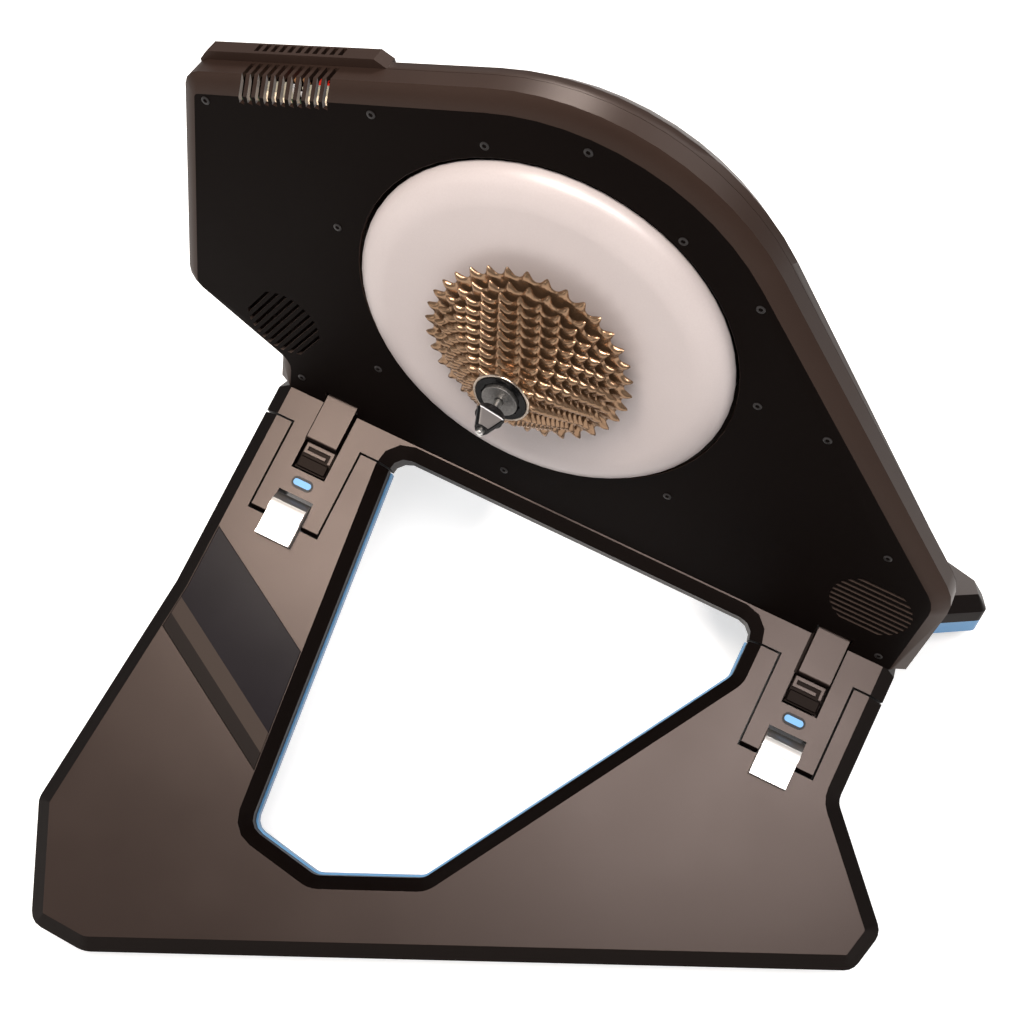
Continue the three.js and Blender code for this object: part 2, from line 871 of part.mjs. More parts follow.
function addWing(which) {
  const liner_top = liner_thickness - plate_thickness;
  const liner = without(prism(grown(opening_corners, liner_width), -plate_thickness, liner_top), [
    prism(grown(opening_corners, -liner_lip), plate_low, plate_clear),
    ...wing_cuts,
  ]);
  const liner_seat = prism(grown(opening_corners, liner_width + fit_gap), plate_low, liner_top + fit_gap);
  const frame = without(plateSolid(), [
    ...wing_cuts,
    ...hinges.map(([, x]) => knucklePocket(x)),
    liner_seat,
    panelSolid(fit_gap, plate_clear),
  ]);
  addOnSide(which, 'wing_frame', frame, 'wing_paint');
  addOnSide(which, 'wing_liner', liner, 'blue_liner');
  addOnSide(which, 'wing_panel', panelSolid(0, 0), 'gloss_panel');
  addOnSide(which, 'wing_rear_foot', footSolid(rear_sole_x, rear_sole_out), 'rubber');
  addOnSide(which, 'wing_front_foot', footSolid(front_sole_x, front_sole_out), 'rubber');
  for (const [place, x] of hinges) {
    addOnSide(which, `${place}_knuckle`, knuckleSolid(x), 'bright_steel');
  }
}

addSkirt('right', right_lever);
addSkirt('left', left_lever);
addWing('right');
addWing('left');
addLevers('right', right_lever);
addLevers('left', left_lever);

// Housing

function housingCorners(offset, front_angle = front_line_angle, nose_inset = 0) {
  const sides = [
    side(-90, housing_bottom + offset),
    side(0, nose_x + offset - nose_inset),
    side(front_angle, crown_radius + offset),
    side(top_line_angle, crown_radius + offset),
    side(180, rear_x + offset),
    side(overhang_angle, overhang_distance + offset),
    side(180, heel_x + offset),
  ];
  const bends = [
    [0, 0],
    [nose_radius + offset],
    [crown_radius + offset, crown_steps],
    [rear_top_radius + offset],
    [rear_low_radius + offset],
    [heel_radius - offset],
    [0, 0],
  ];
  return bends.map((bend, i) => [...meeting(sides[i], sides[(i + 1) % sides.length]), ...bend]);
}

// Everything below the roof that the two skirts make, with a gap above it.
const roof_slope = Math.tan(wing_tilt * degree);
const roof_ridge = -hinge_drop + hinge_half_width * roof_slope + fit_gap;
const roof_edge = roof_ridge - trainer_reach * roof_slope;
const below_roof = crossPrism([
  [-trainer_reach, roof_edge - trainer_reach, 0, 0],
  [trainer_reach, roof_edge - trainer_reach, 0, 0],
  [trainer_reach, roof_edge, 0, 0],
  [0, roof_ridge, 0, 0],
  [-trainer_reach, roof_edge, 0, 0],
], -trainer_reach, trainer_reach);

// A frame along the housing's top line: [along, out] becomes [x, z].
function fromTopLine(along, out) {
  const { normal } = side(top_line_angle, 0);
  return [normal.x * out - normal.y * along, normal.y * out + normal.x * along];
}

function topLineCorners(near, far, low, high) {
  return [[near, low], [near, high], [far, high], [far, low]].map(([along, out]) => (
    [...fromTopLine(along, out), 0, 0]
  ));
}

// Slots that run straight up from the face through the top of the housing.
function ventSlots(y0, y1) {
  const { normal } = side(top_line_angle, 0);
  const lean = slot_height * Math.tan(hinge_slope * degree);
  const half = slot_width / 2;
  const slots = [];
  for (let i = 0; i < slot_count; i += 1) {
    const x = slot_inset - rear_x + i * slot_pitch;
    const z = (crown_radius - slot_floor_depth - normal.x * x) / normal.y;
    slots.push(sidePrism([
      [x - half, z, 0, 0],
      [x + half, z, 0, 0],
      [x + half - lean, z + slot_height, 0, 0],
      [x - half - lean, z + slot_height, 0, 0],
    ], y0, y1));
  }
  return joined(slots);
}

// The cut-outs of a round grille in the face.
function grilleSlots([x, z], angle) {
  const disc = barAlongY(grille_radius, face_y - cut_overrun, face_y + wall + fit_gap);
  const slots = [];
  for (let i = 0; i < grille_slots; i += 1) {
    const level = (i - (grille_slots - 1) / 2) * grille_pitch;
    const low = level - grille_slot / 2;
    const high = level + grille_slot / 2;
    slots.push(block(-grille_radius, grille_radius, face_y - cut_overrun, face_y + wall + fit_gap, low, high));
  }
  const place = new THREE.Matrix4().makeTranslation(x, 0, z);
  place.multiply(new THREE.Matrix4().makeRotationY(-angle * degree));
  return moved(joined(slots).intersect(disc), place);
}

function leverNotches(y0, y1, roof_y) {
  const half = lever_width / 2 + lever_side_gap;
  const top = roof_ridge - roof_y * roof_slope + lever_notch_rise;
  return hinges.map(([, x]) => block(x - half, x + half, y0, y1, -trainer_reach, top));
}

function driveShell() {
  const outside = sideLofted([
    { corners: housingCorners(0), y: face_y },
    { corners: housingCorners(bevel_reach), y: bevel_y },
    { corners: housingCorners(bevel_reach), y: parting_y },
  ]);
  const inside = sideLofted([
    { corners: housingCorners(-wall / 2), y: face_y + wall },
    { corners: housingCorners(bevel_reach - wall), y: bevel_y + wall / 2 },
    { corners: housingCorners(bevel_reach - wall), y: parting_y + cut_overrun },
  ]);
  const mouth = rotor_radius + rotor_gap;
  const rotor_opening = turned([
    [0, face_y - cut_overrun],
    [mouth + cut_overrun + fit_gap, face_y - cut_overrun],
    [mouth, face_y + fit_gap],
    [mouth, face_y + wall + cut_overrun],
    [0, face_y + wall + cut_overrun],
  ], large_round_sides);
  return without(outside, [
    inside,
    rotor_opening,
    ventSlots(face_y - cut_overrun, slot_end_y),
    grilleSlots(front_grille, 0),
    grilleSlots(rear_grille, rear_grille_angle),
    below_roof,
    ...leverNotches(face_y - cut_overrun, face_y + lever_notch_depth, 0),
  ]);
}

function ventBlock() {
  const shoulder = crown_radius + bevel_reach;
  const top = shoulder + vent_block_rise;
  const low = shoulder - vent_block_root;
  const places = [
    [vent_block_front, low],
    [vent_block_front, shoulder],
    [vent_block_front + vent_block_chamfer, top],
    [vent_block_rear - vent_block_chamfer, top],
    [vent_block_rear, shoulder],
    [vent_block_rear, low],
  ];
  const corners = places.map(([along, out]) => [...fromTopLine(along, out), 0, 0]);
  return sidePrism(corners, parting_y + fit_gap, vent_block_end_y);
}

// The front of this shell draws in behind the parting line.
function farCorners(offset) {
  return housingCorners(offset, far_front_line_angle, far_nose_inset);
}

function farShell() {
  const start_y = parting_y + fit_gap;
  const face_offset = bevel_reach - far_bevel_reach;
  const outside = sideLofted([
    { corners: housingCorners(bevel_reach), y: start_y },
    { corners: farCorners(bevel_reach), y: far_plateau_y },
    { corners: farCorners(face_offset), y: far_face_y },
  ]);
  const inside = sideLofted([
    { corners: housingCorners(bevel_reach - wall), y: start_y - cut_overrun },
    { corners: farCorners(bevel_reach - wall), y: far_plateau_y - wall / 2 },
    { corners: farCorners(face_offset - wall), y: far_face_y - wall },
  ]);
  const posts = [];
  for (const along of [board_near + board_edge, board_far - board_edge]) {
    for (const out of [board_low + board_edge, board_high - board_edge]) {
      const [x, z] = fromTopLine(along, out);
      const post_start = board_y + board_thickness + fit_gap;
      posts.push(barAlongY(post_radius, post_start, far_face_y - wall / 2, x, z, small_round_sides));
    }
  }
  const boss = barAlongY(far_boss_radius, far_face_y - wall / 2, far_boss_y);
  const shell = outside.add(ventBlock()).subtract(inside);
  return without(joined([shell, boss, ...posts]), [
    barAlongY(axle_far_radius + fit_gap, 0, far_boss_y + cut_overrun),
    barAlongY(socket_radius + fit_gap, 0, far_face_y + cut_overrun, ...socket_place),
    ventSlots(far_slot_start_y, far_slot_end_y),
    below_roof,
    ...leverNotches(far_face_y - lever_notch_depth, far_face_y + cut_overrun, far_face_y),
  ]);
}

addPiece(housing_frame, 'drive_side_shell', driveShell(), 'black_shell');
addPiece(housing_frame, 'far_side_shell', farShell(), 'black_shell');

// Electronics behind the vent slots

const board = sidePrism(
  topLineCorners(board_near, board_far, board_low, board_high),
  board_y,
  board_y + board_thickness,
);
addPiece(housing_frame, 'control_board', board, 'board_green');

const part_back_y = board_y - fit_gap;
const part_high = board_high - part_inset;
const parts_near = board_near + part_inset + board_edge;
const parts_far = parts_near + part_pitch * part_count - part_inset;
const strip_corners = topLineCorners(parts_near, parts_far, part_high - part_height, part_high);
const cream_parts = [sidePrism(strip_corners, part_back_y - part_strip, part_back_y)];
for (let i = 0; i < part_count; i += 1) {
  const near = parts_near + i * part_pitch;
  const corners = topLineCorners(near, near + part_width, part_high - part_height, part_high);
  cream_parts.push(sidePrism(corners, part_back_y - part_depth, part_back_y));
}
addPiece(housing_frame, 'board_capacitors', joined(cream_parts), 'cream_part');

const red_high = part_high - part_inset - part_height;
const red_near = board_near + part_pitch;
const red_corners = topLineCorners(red_near, red_near + red_part_length, red_high - red_part_height, red_high);
const connector = sidePrism(red_corners, part_back_y - part_depth, part_back_y);
addPiece(housing_frame, 'board_connector', connector, 'red_part');

const socket_end_y = far_face_y + socket_rise;
const socket_hole_y = socket_end_y - socket_length + socket_floor;
const socket = barAlongY(socket_radius, socket_end_y - socket_length, socket_end_y, ...socket_place).subtract(
  barAlongY(socket_bore, socket_hole_y, socket_end_y + cut_overrun, ...socket_place, small_round_sides),
);
addPiece(housing_frame, 'power_inlet', socket, 'black_metal');

// Axle, bearings and stator: fixed. The stator fits inside the ring of magnets in the drum.

const drum_radius = rotor_radius - rotor_skin - fit_gap;
const drum_inner_radius = drum_radius - drum_ring;
const magnet_outer_radius = drum_inner_radius - fit_gap;
const magnet_inner_radius = magnet_outer_radius - magnet_depth;
const stator_radius = magnet_inner_radius - air_gap;
const stator_inner_radius = stator_radius - stator_tooth_length - stator_yoke;

const cap_start_y = dropout_half_width - end_cap_length;
const far_shoulder_y = dropout_half_width - far_cap_length;
const axle = turned([
  [axle_bore, -cap_start_y + fit_gap],
  [axle_thin_radius, -cap_start_y + fit_gap],
  [axle_thin_radius, axle_thin_y],
  [axle_radius, axle_thin_y],
  [axle_radius, flange_front_y],
  [stator_inner_radius - fit_gap, flange_front_y],
  [stator_inner_radius - fit_gap, flange_back_y],
  [axle_far_radius, flange_back_y],
  [axle_far_radius, far_shoulder_y],
  [end_cap_radius, far_shoulder_y],
  [end_cap_radius, dropout_half_width],
  [axle_bore, dropout_half_width],
]);
addPiece(housing_frame, 'axle', axle, 'dark_steel');
const drive_cap = ring(axle_bore, end_cap_radius, -dropout_half_width, -cap_start_y);
addPiece(housing_frame, 'drive_end_cap', drive_cap, 'dark_steel');

for (const [name, y] of [['front_bearing', front_bearing_y], ['rear_bearing', rear_bearing_y]]) {
  const bearing = ring(axle_radius + fit_gap, hub_bore - running_gap, y, y + bearing_width);
  addPiece(housing_frame, name, bearing, 'bright_steel');
}

// Points around the axle: [radius, turn in radians] becomes a sharp corner.
function polarCorner(radius, angle) {
  return [radius * Math.cos(angle), radius * Math.sin(angle), 0, 0];
}

function statorSolid() {
  const outline = [];
  const step = (2 * Math.PI) / stator_tooth_count;
  const yoke_radius = stator_inner_radius + stator_yoke;
  const half = (step * stator_tooth_share) / 2;
  for (let i = 0; i < stator_tooth_count; i += 1) {
    const middle = i * step;
    outline.push(polarCorner(yoke_radius, middle - half));
    outline.push(polarCorner(stator_radius, middle - half));
    outline.push(polarCorner(stator_radius, middle));
    outline.push(polarCorner(stator_radius, middle + half));
    outline.push(polarCorner(yoke_radius, middle + half));
  }
  const core = sidePrism(outline, stator_front_y, stator_back_y);
  return core.subtract(barAlongY(stator_inner_radius, 0, drum_back_y));
}

addPiece(housing_frame, 'stator_core', statorSolid(), 'dark_steel');

// Rotor: cover, drum and magnets

function coverArc(inset) {
  const points = [];
  for (let k = 0; k <= rotor_arc_steps; k += 1) {
    const angle = (Math.PI / 2) * (k / rotor_arc_steps);
    points.push([
      rotor_flat_radius + (rotor_radius - rotor_flat_radius - inset) * Math.sin(angle),
      face_y + (rotor_front_y - face_y + inset) * Math.cos(angle),
    ]);
  }
  return points;
}

const cover = turned([
  [rotor_bore, rotor_front_y],
  ...coverArc(0),
  [rotor_radius, rotor_edge_y],
  [rotor_radius - rotor_skin, rotor_edge_y],
  ...coverArc(rotor_skin).reverse(),
  [rotor_bore, rotor_front_y + rotor_skin],
], large_round_sides);
addPiece(housing_frame, 'rotor_cover', cover, 'rotor_silver');

const web_front_y = rotor_front_y + rotor_skin + fit_gap;
const web_back_y = web_front_y + drum_web;
const drum = turned([
  [hub_bore, web_front_y],
  [rotor_flat_radius, web_front_y],
  [drum_radius, face_y + fit_gap],
  [drum_radius, drum_back_y],
  [drum_inner_radius, drum_back_y],
  [drum_inner_radius, face_y + drum_shoulder],
  [drum_inner_radius - drum_ring, web_back_y],
  [hub_bore + hub_wall, web_back_y],
  [hub_bore + hub_wall, hub_back_y],
  [hub_bore, hub_back_y],
], large_round_sides);
addPiece(housing_frame, 'rotor_drum', drum, 'dark_steel');

// The magnets sit on a thin backing ring inside the drum.
const magnet_back = magnet_outer_radius - magnet_backing;
const magnets = [ring(magnet_back, magnet_outer_radius, magnet_start_y, magnet_end_y, large_round_sides)];
for (let i = 0; i < magnet_count; i += 1) {
  const step = (2 * Math.PI) / magnet_count;
  const middle = i * step;
  const half = (step * magnet_share) / 2;
  magnets.push(sidePrism([
    polarCorner(magnet_inner_radius, middle - half),
    polarCorner(magnet_back + magnet_backing / 2, middle - half),
    polarCorner(magnet_back + magnet_backing / 2, middle + half),
    polarCorner(magnet_inner_radius, middle + half),
  ], magnet_start_y, magnet_end_y));
}
addPiece(housing_frame, 'rotor_magnet_ring', joined(magnets), 'magnet_grey');

// Cassette

function sprocketSolid(teeth, y, bore) {
  const pitch_radius = chain_pitch / (2 * Math.sin(Math.PI / teeth));
  const step = (2 * Math.PI) / teeth;
  const shoulder = pitch_radius - valley_shoulder;
  const outline = [];
  for (let i = 0; i < teeth; i += 1) {
    const middle = tooth_phase * degree + i * step;
    outline.push(polarCorner(pitch_radius + tooth_height, middle - tip_half_share * step));
    outline.push(polarCorner(pitch_radius + tooth_height, middle + tip_half_share * step));
    outline.push(polarCorner(shoulder, middle + shoulder_share * step));
    outline.push(polarCorner(pitch_radius - valley_depth, middle + step / 2));
    outline.push(polarCorner(shoulder, middle + (1 - shoulder_share) * step));
  }
  const half = sprocket_thickness / 2;
  const blank = sidePrism(outline, y - half, y + half);
  return blank.subtract(barAlongY(bore, y - cut_overrun, y + cut_overrun));
}

// All sprockets but the smallest sit on a sleeve that carries the spacer rings.
const sleeve_bore = freehub_radius + fit_gap;
const sleeve_radius = sleeve_bore + spacer_sleeve;
const sleeve_start_y = first_sprocket_y + sprocket_thickness / 2;
const sleeve_parts = [];
sprocket_teeth.forEach((teeth, i) => {
  const y = first_sprocket_y - i * sprocket_spacing;
  const smallest = i === sprocket_teeth.length - 1;
  const bore = smallest ? sleeve_bore : sleeve_radius + fit_gap;
  addPiece(housing_frame, `sprocket_${teeth}`, sprocketSolid(teeth, y, bore), 'cassette_metal');
  if (i === 0) return;
  const half = (sprocket_spacing - sprocket_thickness) / 2 - fit_gap;
  const middle = y + sprocket_spacing / 2;
  sleeve_parts.push(ring(sleeve_bore, sleeve_bore + spacer_ring, middle - half, middle + half));
  if (smallest) sleeve_parts.push(ring(sleeve_bore, sleeve_radius, middle - half, sleeve_start_y));
});
addPiece(housing_frame, 'cassette_spacer_sleeve', joined(sleeve_parts), 'black_metal');

const freehub_bore = axle_thin_radius + running_gap * 2;
const seat_radius = lockring_neck + fit_gap;
const seat_y = freehub_end_y + lockring_neck_length;
const first_face_y = first_sprocket_y + sprocket_thickness / 2 + fit_gap;
const freehub = turned([
  [freehub_bore, freehub_back_y],
  [freehub_radius, freehub_back_y],
  [freehub_radius, freehub_flange_y],
  [freehub_flange_radius, freehub_flange_y],
  [freehub_flange_radius, first_face_y],
  [freehub_radius, first_face_y],
  [freehub_radius, freehub_end_y],
  [seat_radius, freehub_end_y],
  [seat_radius, seat_y],
  [freehub_bore, seat_y],
]);
addPiece(housing_frame, 'freehub_body', freehub, 'dark_steel');

const last_sprocket_y = first_sprocket_y - (sprocket_teeth.length - 1) * sprocket_spacing;
const flange_back = last_sprocket_y - sprocket_thickness / 2 - fit_gap;
const flange_front = flange_back - lockring_flange;
const notches = [];
for (let i = 0; i < lockring_notch_count; i += 1) {
  const angle = (2 * Math.PI * i) / lockring_notch_count;
  const x = lockring_bore * Math.cos(angle);
  const z = lockring_bore * Math.sin(angle);
  const [notch_start, notch_end] = [flange_front - cut_overrun, flange_back];
  notches.push(barAlongY(lockring_notch / 2, notch_start, notch_end, x, z, lockring_notch_sides));
}
const lockring = without(turned([
  [lockring_bore, flange_front],
  [lockring_radius, flange_front],
  [lockring_radius, flange_back],
  [lockring_neck, flange_back],
  [lockring_neck, flange_back + lockring_neck_length],
  [lockring_bore, flange_back + lockring_neck_length],
]), notches);
addPiece(housing_frame, 'cassette_lockring', lockring, 'black_metal');

// Quick release through the axle

const rod_end_y = cam_start_y + cam_floor - fit_gap;
const rod = barAlongY(skewer_radius, skewer_end_y, rod_end_y, 0, 0, small_round_sides);
addPiece(housing_frame, 'skewer_rod', rod, 'bright_steel');

function nutOutline(inradius) {
  const corners = [];
  const corner_distance = inradius / Math.cos(Math.PI / nut_sides);
  for (let k = 0; k < nut_sides; k += 1) {
    const angle = nut_flat_angle * degree + ((2 * k + 1) * Math.PI) / nut_sides;
    corners.push([corner_distance * Math.cos(angle), corner_distance * Math.sin(angle), nut_corner_radius]);
  }
  return corners;
}

const nut = without(joined([
  barAlongY(nut_collar_radius, nut_shoulder_y, nut_collar_y),
  sideLofted([
    { corners: nutOutline(nut_tip_inradius), y: nut_end_y },
    { corners: nutOutline(nut_base_inradius), y: nut_shoulder_y },
  ]),
]), [barAlongY(skewer_radius + fit_gap, nut_end_y - cut_overrun, cut_overrun, 0, 0, small_round_sides)]);
addPiece(housing_frame, 'skewer_nut', nut, 'black_metal');

// The cam housing and its lever are drawn with the lever along +x, then turned.
const lever_turn = new THREE.Matrix4().makeRotationY(-handle_angle * degree);
const quarter_turn = new THREE.Matrix4().makeRotationY(Math.PI / 2);

// A round bar across the lever, through its pivot.
function pivotBar(radius, length, sides = small_round_sides) {
  return moved(barAlongX(radius, -length / 2, length / 2, cam_pivot_y, 0, sides), quarter_turn);
}

const cam = without(barAlongY(cam_radius, cam_start_y, cam_end_y), [
  block(
    -cam_radius - cut_overrun,
    cam_radius + cut_overrun,
    cam_start_y + cam_floor,
    cam_end_y + cut_overrun,
    -cam_slot / 2,
    cam_slot / 2,
  ),
  barAlongY(skewer_radius + fit_gap, 0, cam_pivot_y, 0, 0, small_round_sides),
  pivotBar(handle_pin_radius + running_gap, cam_radius * 2 + cut_overrun),
]);
addPiece(housing_frame, 'skewer_cam', moved(cam, lever_turn), 'black_metal');

const neck_half = handle_barrel_width / 2;
const neck_side = crossPrism([
  [cam_pivot_y - handle_barrel_radius, 0, 0, 0],
  [cam_pivot_y + handle_barrel_radius, 0, 0, 0],
  [cam_pivot_y + handle_neck_rise, handle_neck_high, 0, 0],
  [handle_outer_y, handle_start, 0, 0],
  [handle_outer_y, handle_start + handle_overlap, 0, 0],
  [handle_inner_y, handle_start + handle_overlap, 0, 0],
  [cam_pivot_y - handle_neck_drop, handle_neck_low, 0, 0],
], -neck_half, neck_half);
const grip = sidePrism([
  [handle_start, -handle_width / 2, handle_corner],
  [handle_length, -handle_tip_width / 2, handle_corner],
  [handle_length, handle_tip_width / 2, handle_corner],
  [handle_start, handle_width / 2, handle_corner],
], handle_inner_y, handle_outer_y);
const lever = joined([
  pivotBar(handle_barrel_radius, handle_barrel_width, round_sides),
  pivotBar(handle_pin_radius, handle_pin_length),
  moved(neck_side, quarter_turn),
  grip,
]);
addPiece(housing_frame, 'quick_release_lever', moved(lever, lever_turn), 'black_metal');

// The trainer stands on z = 0, centred in x; y = 0 stays the middle plane of the wings.
trainer.updateMatrixWorld(true);
const stand_box = new THREE.Box3().setFromObject(trainer, true);
housing_frame.position.x -= (stand_box.min.x + stand_box.max.x) / 2;
housing_frame.position.z -= stand_box.min.z;

export default trainer;
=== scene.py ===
# %% [markdown]
# # A direct drive bike trainer
# The bicycle's rear wheel comes off, its frame is clamped on this trainer's axle, and its chain runs
# on the trainer's cassette. The shapes come from a imported CAD model, which stays where it is. This
# lesson dresses it: every piece gets rounded edges, a material, and the small parts that CAD leaves
# out. The first cell loads the CAD nodes.

# %% Load the frame
import json
import math

import bmesh
import bpy
from mathutils import Matrix, Vector

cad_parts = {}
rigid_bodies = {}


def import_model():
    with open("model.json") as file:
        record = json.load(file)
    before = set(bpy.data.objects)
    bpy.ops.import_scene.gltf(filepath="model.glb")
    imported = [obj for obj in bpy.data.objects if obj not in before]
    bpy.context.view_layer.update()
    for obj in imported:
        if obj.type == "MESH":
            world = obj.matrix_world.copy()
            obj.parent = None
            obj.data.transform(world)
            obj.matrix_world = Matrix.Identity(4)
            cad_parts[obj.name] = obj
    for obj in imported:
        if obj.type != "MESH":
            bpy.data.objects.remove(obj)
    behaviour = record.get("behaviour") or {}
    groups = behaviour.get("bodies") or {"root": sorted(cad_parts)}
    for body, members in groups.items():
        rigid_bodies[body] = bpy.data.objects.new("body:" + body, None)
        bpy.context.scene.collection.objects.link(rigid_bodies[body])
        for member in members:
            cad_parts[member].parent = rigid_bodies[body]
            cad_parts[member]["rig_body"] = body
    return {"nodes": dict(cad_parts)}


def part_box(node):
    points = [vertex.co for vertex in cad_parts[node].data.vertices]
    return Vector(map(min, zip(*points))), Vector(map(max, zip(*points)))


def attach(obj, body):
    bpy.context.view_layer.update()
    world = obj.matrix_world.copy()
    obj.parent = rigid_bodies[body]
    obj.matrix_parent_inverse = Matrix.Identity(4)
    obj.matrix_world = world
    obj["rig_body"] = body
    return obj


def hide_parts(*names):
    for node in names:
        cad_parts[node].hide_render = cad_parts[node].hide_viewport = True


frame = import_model()
nodes = frame["nodes"]
scene = bpy.context.scene
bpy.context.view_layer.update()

# %% [markdown]
# ## Places
# The housing leans back with the slope of its hinges, so it is easier to work in a frame along the
# hinges: its origin lies on the axle, x runs forwards along the hinges, y along the axle to the left
# and z away from the floor. Each wing has a frame too, with x along its hinges, y across them to the
# left and z out of its top face, which lies at z = 0. A matrix for each turns millimetres there into
# metres in the model.

# %% Frames of the housing and the wings
SIDES = {"right": 1, "left": -1}
HINGE_SLOPE = math.radians(11.65)
WING_TILT = math.radians(26.15)
HINGE_HALF_WIDTH = 85.5
HINGE_DROP = 213.8
MM = Matrix.Scale(0.001, 4)

axle_low, axle_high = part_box("axle")
axle_centre = Vector(((axle_low.x + axle_high.x) / 2, 0, (axle_low.z + axle_high.z) / 2))
housing = Matrix.Translation(axle_centre) @ Matrix.Rotation(HINGE_SLOPE, 4, "Y") @ MM
plates = {
    side: housing
    @ Matrix.Translation((0, -sign * HINGE_HALF_WIDTH, -HINGE_DROP))
    @ Matrix.Rotation(sign * WING_TILT, 4, "X")
    for side, sign in SIDES.items()
}
print("axle centre", [round(v, 4) for v in axle_centre])

# %% [markdown]
# ## Camera
# The camera stands where it stood for the photograph, above and in front of the drive side. Its
# place and turn were measured from the ellipses of the disc and the sprockets, whose real shapes
# are round. The lens follows from how fast the far side shrinks. The place is in the housing's
# frame, and the turn is in degrees about the model's axes.

# %% Camera
SENSOR_WIDTH = 36
LENS = 55.42
NEAREST_SEEN = 0.05
FARTHEST_SEEN = 50
CAMERA_PLACE = (154.03, -649.72, 746.86)
CAMERA_TURN = (39.048, 1.897, 24.661)

camera_data = bpy.data.cameras.new("camera")
camera_data.sensor_width = SENSOR_WIDTH
camera_data.lens = LENS
camera_data.clip_start = NEAREST_SEEN
camera_data.clip_end = FARTHEST_SEEN
camera = bpy.data.objects.new("camera", camera_data)
camera.location = housing @ Vector(CAMERA_PLACE)
camera.rotation_euler = [math.radians(turn) for turn in CAMERA_TURN]
scene.collection.objects.link(camera)
scene.camera = camera
print("camera at", [round(v, 3) for v in camera.location])

# %% [markdown]
# ## Node trees as expressions
# A shader is a small sum over sockets, so it reads best as one. Measure wraps a socket and gives it
# the signs of arithmetic. The reflected signs serve sums that start with a plain number.

# %% Sums of sockets
class Measure:
    """The output of a node, which can stand in a sum."""

    def __init__(self, recipe, socket):
        self.recipe = recipe
        self.socket = socket

    def _sum(self, operation, *terms):
        return self.recipe.node("ShaderNodeMath", {"operation": operation}, dict(enumerate(terms)))

    def apply(self, operation, *others):
        """Any other operation of a Math node, on this value first."""
        return self._sum(operation, self, *others)

    def __add__(self, other):
        return self._sum("ADD", self, other)

    def __radd__(self, other):
        return self._sum("ADD", other, self)

    def __sub__(self, other):
        return self._sum("SUBTRACT", self, other)

    def __rsub__(self, other):
        return self._sum("SUBTRACT", other, self)

    def __mul__(self, other):
        return self._sum("MULTIPLY", self, other)

    def __rmul__(self, other):
        return self._sum("MULTIPLY", other, self)

    def __truediv__(self, other):
        return self._sum("DIVIDE", self, other)

    def __rtruediv__(self, other):
        return self._sum("DIVIDE", other, self)

    def __gt__(self, other):
        return self._sum("GREATER_THAN", self, other)

    def __lt__(self, other):
        return self._sum("LESS_THAN", self, other)


print("class", Measure.__name__, "ready")

# %% [markdown]
# Recipe adds any other node from its type, its settings and its inputs, for materials and for
# trees that make shapes alike. One setting needs more than an assignment: the points of a curve
# node. They are given as a list of heights at even steps, with straight stretches between them.

# %% Any other node
def set_heights(mapping, heights):
    points = mapping.curves[0].points
    last = len(heights) - 1
    for i in range(1, last):
        points.new(i / last, heights[i])
    points[0].location = (0, heights[0])
    points[-1].location = (1, heights[-1])
    for point in points:
        point.handle_type = "VECTOR"
    mapping.update()


class Recipe:
    """A node tree while it is being written."""

    def __init__(self, tree):
        self.tree = tree
        self.tree.nodes.clear()

    def node(self, kind, settings=None, inputs=None, output=0):
        """Adds a node, settings first and then the values or links of its sockets."""
        made = self.tree.nodes.new(kind)
        for name, value in (settings or {}).items():
            if name == "heights":
                set_heights(made.mapping, value)
            else:
                setattr(made, name, value)
        for name, value in (inputs or {}).items():
            if isinstance(value, Measure):
                self.tree.links.new(value.socket, made.inputs[name])
            else:
                made.inputs[name].default_value = value
        return Measure(self, made.outputs[output]) if len(made.outputs) else None


print("class", Recipe.__name__, "ready")

# %% [markdown]
# ## Surfaces
# All of the surfaces are made from the same few things: a base colour with soft patches in it, a
# fine grain that bends the light, and a roughness that wanders a little, because no real surface
# is equally smooth all over. Object coordinates in metres keep every grain at its real size. A Mix
# node has sockets for each kind of data, so the ones for colours are named by their numbers here.

# %% Helpers for materials
MIX_FACTOR = 0
MIX_FIRST_COLOUR = 6
MIX_SECOND_COLOUR = 7
MIX_COLOUR = 2


def material_recipe(name):
    material = bpy.data.materials.new(name)
    material.use_nodes = True
    return material, Recipe(material.node_tree)


def object_coordinates(recipe):
    return recipe.node("ShaderNodeTexCoord", output="Object")


def noise(recipe, spot, scale, detail=2.0):
    """Soft noise between 0 and 1, with so many patches to a metre."""
    inputs = {"Vector": spot, "Scale": scale, "Detail": detail}
    return recipe.node("ShaderNodeTexNoise", {}, inputs)


def blend_colours(recipe, factor, one, two):
    def rgba(colour):
        return colour if isinstance(colour, Measure) else (*colour, 1)

    inputs = {MIX_FACTOR: factor, MIX_FIRST_COLOUR: rgba(one), MIX_SECOND_COLOUR: rgba(two)}
    return recipe.node("ShaderNodeMix", {"data_type": "RGBA"}, inputs, MIX_COLOUR)


def bump(recipe, height, strength, distance):
    inputs = {"Height": height, "Strength": strength, "Distance": distance}
    return recipe.node("ShaderNodeBump", {}, inputs)


def finish_material(recipe, sockets):
    shader = recipe.node("ShaderNodeBsdfPrincipled", {}, sockets)
    recipe.node("ShaderNodeOutputMaterial", {}, {"Surface": shader})


print("material helpers ready")

# %% [markdown]
# One function writes nearly every material. It takes the two colours that the patches wander
# between, the size of the grain in metres, the roughness and how far it wanders, and the depth of
# the grain in metres. What is the same all over a surface is set on the shader's own socket, by
# the short words below.

